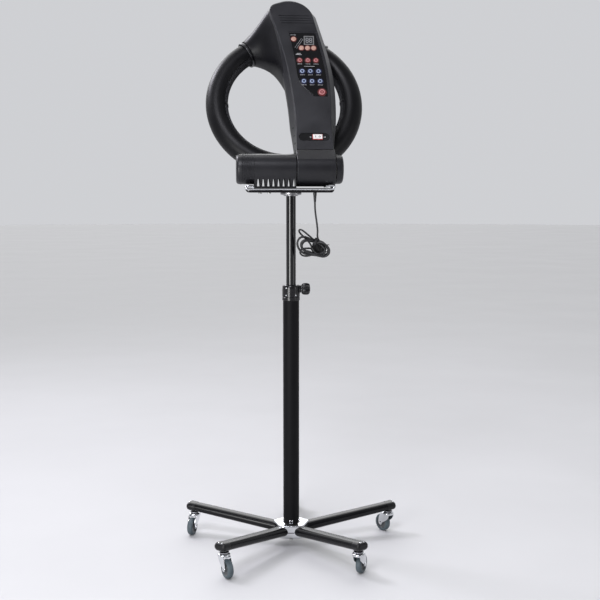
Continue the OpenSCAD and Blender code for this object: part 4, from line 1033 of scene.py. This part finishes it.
arrows = placed(joined(dash(56.5, WELL_V, 4, 1.4, FACE + 1.25), dash(54, WELL_V, 1.4, 4, FACE + 1.25),
                       dash(93, WELL_V, 4, 1.4, FACE + 1.25), dash(95.5, WELL_V, 1.4, 4, FACE + 1.25)), HEAD)
arrows.name = "switch_arrows"
fitted(arrows, ink_pale, "arm", "display_grey")

# ---------------------------------------------------------------- arm rear cover
# The back half of the arm is one large charcoal moulding: the flared back of the arm, the drive housing
# behind its dome, the saddle that the ring runs through, and the horn that spreads from the saddle into the
# arm's left side.
RING_X, RING_DEPTH, RING_V, RING_R, TUBE_R = -6.5, 78, 245, 194.5, 33
SADDLE_R, TUNNEL_R, SADDLE_A0, SADDLE_A1 = 38.6, 34.2, 56, 122.5
NECK = 1.2


def round_ring(name, radius, first, last, steps, inner=0, sides=64):
    """A stretch of tube round the ring's own centre, or a sleeve where it has an inner radius."""
    hold()
    whole = last - first == 360
    hollow_end = "NOTHING" if inner or whole else "NGON"
    pose = (Matrix.Translation(mm(RING_X, RING_DEPTH, RING_V)) @ Matrix.Rotation(-math.radians(first), 4, "Y")
            @ Matrix.Translation(mm(RING_R, 0, 0)))
    bpy.ops.mesh.primitive_circle_add(vertices=sides, radius=radius / 1000, fill_type=hollow_end)
    piece = bpy.context.object
    piece.name = piece.data.name = name
    if inner:
        bpy.ops.object.mode_set(mode="EDIT")
        bpy.ops.mesh.primitive_circle_add(vertices=sides, radius=inner / 1000, fill_type="NOTHING")
        bpy.ops.mesh.select_all(action="SELECT")
        bpy.ops.mesh.bridge_edge_loops()
        bpy.ops.object.mode_set(mode="OBJECT")
    return swept(placed(piece, pose), first, last, steps)


def swept(piece, first, last, steps):
    """Spins the outline about the ring's own axis."""
    pick(piece, lambda c, n: True)
    bpy.ops.mesh.select_all(action="SELECT")
    bpy.ops.mesh.spin(steps=steps, angle=math.radians(last - first), center=mm(RING_X, RING_DEPTH, RING_V),
                      axis=(0, 1, 0))
    return sound(piece, merge=True)


CORE_FOOT = ARM_FOOT - 8
core = arm_skin("arm_rear_cover", [(*insets, CORE_FOOT) for *insets, low in FRONT_RINGS]
                + [(-11.4, -8.2, -0.6, JOINT, CORE_FOOT), (-12, -9, -0.6, 8, CORE_FOOT),
                   (-12, -9, -0.4, 24, CORE_FOOT), (-10.4, -7.4, 1.5, 29.4, CORE_FOOT),
                   (-6.8, -3.8, 5, 32.8, CORE_FOOT), (-1, 2, 11, REAR, CORE_FOOT)])
HOUSING_RINGS = [(-8, -6, 2.5, 26, 366), (-6.5, -4.5, 4, 58, 378), (-4, -1, 7, 76, 388), (1, 4, 12, 84, 398),
                 (8, 11, 19, 89, 408), (17, 20, 28, 91.5, 420)]
housing_back = arm_skin("drive_housing", HOUSING_RINGS, swell=0.2)
saddle = round_ring("saddle", SADDLE_R, SADDLE_A0 - 3, SADDLE_A1 + 1, 30)

# The horn: a skin that starts round the ring at the saddle's left end and spreads out to the arm's whole
# side, where it takes up the slope of the front cover's flank at the joint line
HORN_END = [(-30, 42, 512), (-42, 10, 513), (-47, -19, 502), (-43, -22, 466), (-34, -16, 414), (-20, -8, 345),
            (-5, -3, 268), (4, 20, 225), (4, 31, 285), (-10, 60, 388), (-22, 84, 440), (-27, 70, 496)]
HORN_SIDES, HORN_STEPS = 48, 16


def round_point(points, share):
    """A point on the smooth closed curve through the points."""
    count = len(points)
    at = share * count
    i, t = int(at) % count, at - int(at)
    a, b, c, d = (Vector(points[(i + k) % count]) for k in (-1, 0, 1, 2))
    bend, twist = 2 * a - 5 * b + 4 * c - d, 3 * b - a - 3 * c + d
    return 0.5 * (2 * b + (c - a) * t + bend * t * t + twist * t ** 3)


mouth = math.radians(SADDLE_A1 - 1)
outward = Vector((math.cos(mouth), 0, math.sin(mouth)))
mouth_at = Vector((RING_X, RING_DEPTH, RING_V)) + RING_R * outward
horn_loops = []
for step in range(HORN_STEPS + 1):
    t = step / HORN_STEPS
    loop = []
    for side in range(HORN_SIDES):
        turn = 2 * math.pi * side / HORN_SIDES
        start = mouth_at + SADDLE_R * (math.cos(turn) * outward + math.sin(turn) * Vector((0, -1, 0)))
        end = round_point(HORN_END, side / HORN_SIDES)
        straight = (end - start).normalized()
        under = (1 - math.cos(turn)) / 2
        leave = straight.lerp(Vector((0.95, -0.1, -0.25)), under)
        arrive = straight.lerp(Vector((0.3, -0.15, -0.94)), under * 0.8)
        reach = (end - start).length
        loop.append((2 * t ** 3 - 3 * t * t + 1) * start + (t ** 3 - 2 * t * t + t) * reach * leave
                    + (3 * t * t - 2 * t ** 3) * end + (t ** 3 - t * t) * reach * 0.9 * arrive)
    horn_loops.append(loop)
horn = lofted("horn", horn_loops)

# The four forms are blended into one skin, and the front cover's room, the arm's foot, the saddle's mouths,
# the ring's tunnel and the hollow inside are cut from it
rear_cover = joined(core, housing_back, saddle, horn)
worked(rear_cover, "REMESH", mode="VOXEL", voxel_size=0.0024)
worked(rear_cover, "SMOOTH", factor=0.5, iterations=14)
carved(rear_cover, arm_skin("front_room", [(2.9, 10.3, 12.7, FACE - 20, ARM_FOOT - 20)]
                            + [(left - 0.25, right - 0.25, top - 0.25, depth, ARM_FOOT - 20)
                               for left, right, top, depth, low in FRONT_RINGS]
                            + [(-11.6, -8.4, -0.8, JOINT + 0.2, ARM_FOOT - 20)]))
pick(rear_cover, lambda c, n: True)
bpy.ops.mesh.bisect(plane_co=mm(0, 0, ARM_FOOT), plane_no=(0, 0, -1), use_fill=True, clear_outer=True)
for first, last in ((SADDLE_A0 - 14, SADDLE_A0), (SADDLE_A1 - NECK, SADDLE_A1 + 14)):
    carved(rear_cover, round_ring("mouth", SADDLE_R + 9, first, last, 8, inner=26))
carved(rear_cover, round_ring("tunnel", TUNNEL_R, SADDLE_A0 - 8, SADDLE_A1 + 8, 40))
carved(rear_cover, arm_skin("cavity", [(-7, -4, 4, -5, ARM_FOOT + 3), (-7, -4, 4, REAR - 3, ARM_FOOT + 3)]))
pick(rear_cover, lambda c, n: True)
bpy.ops.mesh.select_all(action="SELECT")
bpy.ops.mesh.remove_doubles(threshold=0.00002)
bpy.ops.mesh.dissolve_degenerate(threshold=0.00002)
bpy.ops.mesh.fill_holes(sides=12)
# A darker copy of the charcoal plastic, as painted shade on the back of the arm, the horn and the saddle
charcoal_back_painted_shade = moulding("charcoal_back_painted_shade", (0.003, 0.003, 0.004), (0.006, 0.006, 0.008), (0.34, 0.42), 1300,
                         0.08, shine=0.22)
fitted(placed(rear_cover, HEAD), charcoal_back_painted_shade, "arm", "charcoal_plastic", "arm_rear_cover")
neck = round_ring("saddle_neck", SADDLE_R - 2, SADDLE_A1 - NECK - 1, SADDLE_A1, 4, inner=TUNNEL_R)
fitted(placed(neck, HEAD), charcoal_back_painted_shade, "arm", "charcoal_plastic")

# ---------------------------------------------------------------- saddle trims
# A turned bush of dark satin steel is pressed into each mouth of the saddle, so that the ring runs on a
# smooth, hard edge and the moulding's own edge is covered.
TRIM = math.degrees(6 / RING_R)
trims = joined(round_ring("saddle_trims", SADDLE_R, SADDLE_A0 - TRIM, SADDLE_A0, 5, inner=TUNNEL_R),
               round_ring("trim_left", SADDLE_R, SADDLE_A1, SADDLE_A1 + TRIM, 5, inner=TUNNEL_R))
eased(trims, 0.0009, 3, 50)
satin_steel = moulding("satin_steel", (0.07, 0.07, 0.075), (0.11, 0.11, 0.115), (0.26, 0.36), 700, 0.1,
                       metal=1.0)
fitted(placed(trims, HEAD), satin_steel, "arm", "bright_metal", "saddle_trims")

# ---------------------------------------------------------------- ring
# The heated ring is a satin black tube, open towards its own middle, where an expanded steel grille closes
# it. The shell's lips are turned in over the grille's edges.
ring_black = moulding("ring_satin", (0.002, 0.002, 0.003), (0.004, 0.004, 0.005), (0.36, 0.46), 1100, 0.2,
                      shine=0.24)
GRILLE_HALF, WALL = 50, 2.5


def ring_outline(name, outline, closed):
    """Draws a section of the ring as (outward, depth) points about its tube's middle, ready to be spun."""
    points = [(RING_X + RING_R + x, RING_DEPTH + y) for x, y in outline]
    piece = start_point(name, points[0][0], points[0][1], RING_V)
    for (x0, y0), (x1, y1) in zip(points, points[1:]):
        draw(x1 - x0, y1 - y0, 0)
    if closed:
        pick(piece, lambda c, n: False, "VERT")
        bpy.ops.object.mode_set(mode="OBJECT")
        for point in (0, len(points) - 1):
            piece.data.vertices[point].select = True
        bpy.ops.object.mode_set(mode="EDIT")
        bpy.ops.mesh.edge_face_add()
    bpy.ops.object.mode_set(mode="OBJECT")
    return piece


shell_arc = 180 - GRILLE_HALF
shell_line = (arc(0, 0, TUBE_R, -shell_arc, shell_arc, 52)
              + arc(0, 0, TUBE_R - 1.2, shell_arc + 2.2, shell_arc + 2.6, 1)
              + arc(0, 0, TUBE_R - WALL, shell_arc + 2, -shell_arc - 2, 40)
              + arc(0, 0, TUBE_R - 1.2, -shell_arc - 2.6, -shell_arc - 2.2, 1))
ring = swept(ring_outline("ring_shell", shell_line, True), 0, 360, 176)
fitted(placed(ring, HEAD), ring_black, "ring", "ring_plastic", "ring_shell")

# ---------------------------------------------------------------- ring grille
# Expanded steel mesh with a dull nickel finish, rolled to the tube's section, with two black straps where its
# halves meet. A thin dark sheet close behind the mesh is painted shade for the tube's inside, with the
# heaters behind it.
grille_nickel = moulding("grille_nickel", (0.05, 0.05, 0.055), (0.09, 0.09, 0.095), (0.45, 0.6), 900, 0.2,
                         metal=1.0)
grille_arc = GRILLE_HALF + 1
mesh_line = arc(0, 0, TUBE_R - 2.2, 180 - grille_arc, 180 + grille_arc, 17)
grille = swept(ring_outline("ring_grille", mesh_line, False), 0, 360, 320)
worked(grille, "WIREFRAME", thickness=0.0010, offset=0, use_replace=True, use_even_offset=False,
       use_boundary=True)
fitted(placed(grille, HEAD), grille_nickel, "ring", "grille_metal", "ring_grille")
# A dark sheet close behind the mesh, as painted shade for the inside of the tube
shade_sheet_line = (arc(0, 0, TUBE_R - 3.0, 180 - grille_arc, 180 + grille_arc, 20)
               + arc(0, 0, TUBE_R - 3.6, 180 + grille_arc, 180 - grille_arc, 20))
shade_sheet = swept(ring_outline("ring_shade_sheet", shade_sheet_line, True), 0, 360, 120)
fitted(placed(shade_sheet, HEAD), ring_black, "ring", "grille_metal")
strap_arc = GRILLE_HALF + 3
strap_line = (arc(0, 0, TUBE_R - 0.2, 180 - strap_arc, 180 + strap_arc, 24)
              + arc(0, 0, TUBE_R - 2.6, 180 + strap_arc, 180 - strap_arc, 24))
STRAP_WIDE = 2.2
straps = []
for side in (0, 180):
    strap = ring_outline("ring_straps", strap_line, True)
    pick(strap, lambda c, n: True, "VERT")
    bpy.ops.mesh.select_all(action="SELECT")
    bpy.ops.mesh.edge_face_add()
    strap = swept(strap, 0, STRAP_WIDE, 3)
    about = Matrix.Translation(mm(RING_X, 0, RING_V))
    turn = Matrix.Rotation(math.radians(side - STRAP_WIDE / 2), 4, "Y")
    straps.append(placed(strap, about @ turn @ about.inverted()))
fitted(placed(joined(*straps), HEAD), ring_black, "ring", "grille_metal")

# ---------------------------------------------------------------- heaters
# Four curved quartz tubes, each with an end block at either end, lie in the ring behind the grille. Their
# shape is the CAD's own.
quartz = moulding("heater_quartz", (0.10, 0.10, 0.10), (0.16, 0.16, 0.15), (0.18, 0.3), 420, 0.2, coat=0.4)


def finished(finish, *nodes):
    """Gives parts that keep their CAD shape their finish."""
    for name in nodes:
        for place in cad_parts[name].material_slots:
            place.material = finish


finished(quartz, "heater_elements")

# ---------------------------------------------------------------- fasteners, stems and shaft
# The legs' bolts, the bracket's screws and the castor stems are bright zinc-plated steel. The hinge shaft is
# ground steel with a faint film of oil.
zinc_plate = moulding("zinc_plate", (0.42, 0.42, 0.41), (0.56, 0.56, 0.54), (0.22, 0.36), 520, 0.2, metal=1.0)
finished(zinc_plate, "hub_bolts", "bracket_screws", "castor_stems")
ground_steel = moulding("ground_steel", (0.30, 0.30, 0.31), (0.42, 0.42, 0.43), (0.14, 0.26), 900, 0.15,
                        metal=1.0)
finished(ground_steel, "hinge_shaft")

# ---------------------------------------------------------------- bushes and washers
# White nylon guide bushes hold the mast in the column, and the same nylon makes the hinge's friction washers.
# Both are turned parts, which stay hidden in use.
nylon = moulding("bush_nylon", (0.62, 0.61, 0.57), (0.74, 0.73, 0.69), (0.4, 0.55), 640, 0.2)
finished(nylon, "mast_bushes", "friction_washers")

# ---------------------------------------------------------------- circuit board, motor and roller
# Behind the panel lies a green varnished circuit board. The geared motor in the dome has a zinc case and
# turns a grey rubber roller against the ring.
varnish = moulding("board_varnish", (0.010, 0.075, 0.030), (0.020, 0.120, 0.050), (0.2, 0.34), 1500, 0.2,
                   coat=0.3)
motor_zinc = moulding("motor_zinc", (0.34, 0.34, 0.35), (0.46, 0.46, 0.47), (0.3, 0.44), 480, 0.25, metal=1.0)
roller_rubber = moulding("roller_rubber", (0.045, 0.045, 0.047), (0.07, 0.07, 0.072), (0.62, 0.8), 760, 0.4)
finished(varnish, "circuit_board")
finished(motor_zinc, "drive_motor")
finished(roller_rubber, "drive_roller")
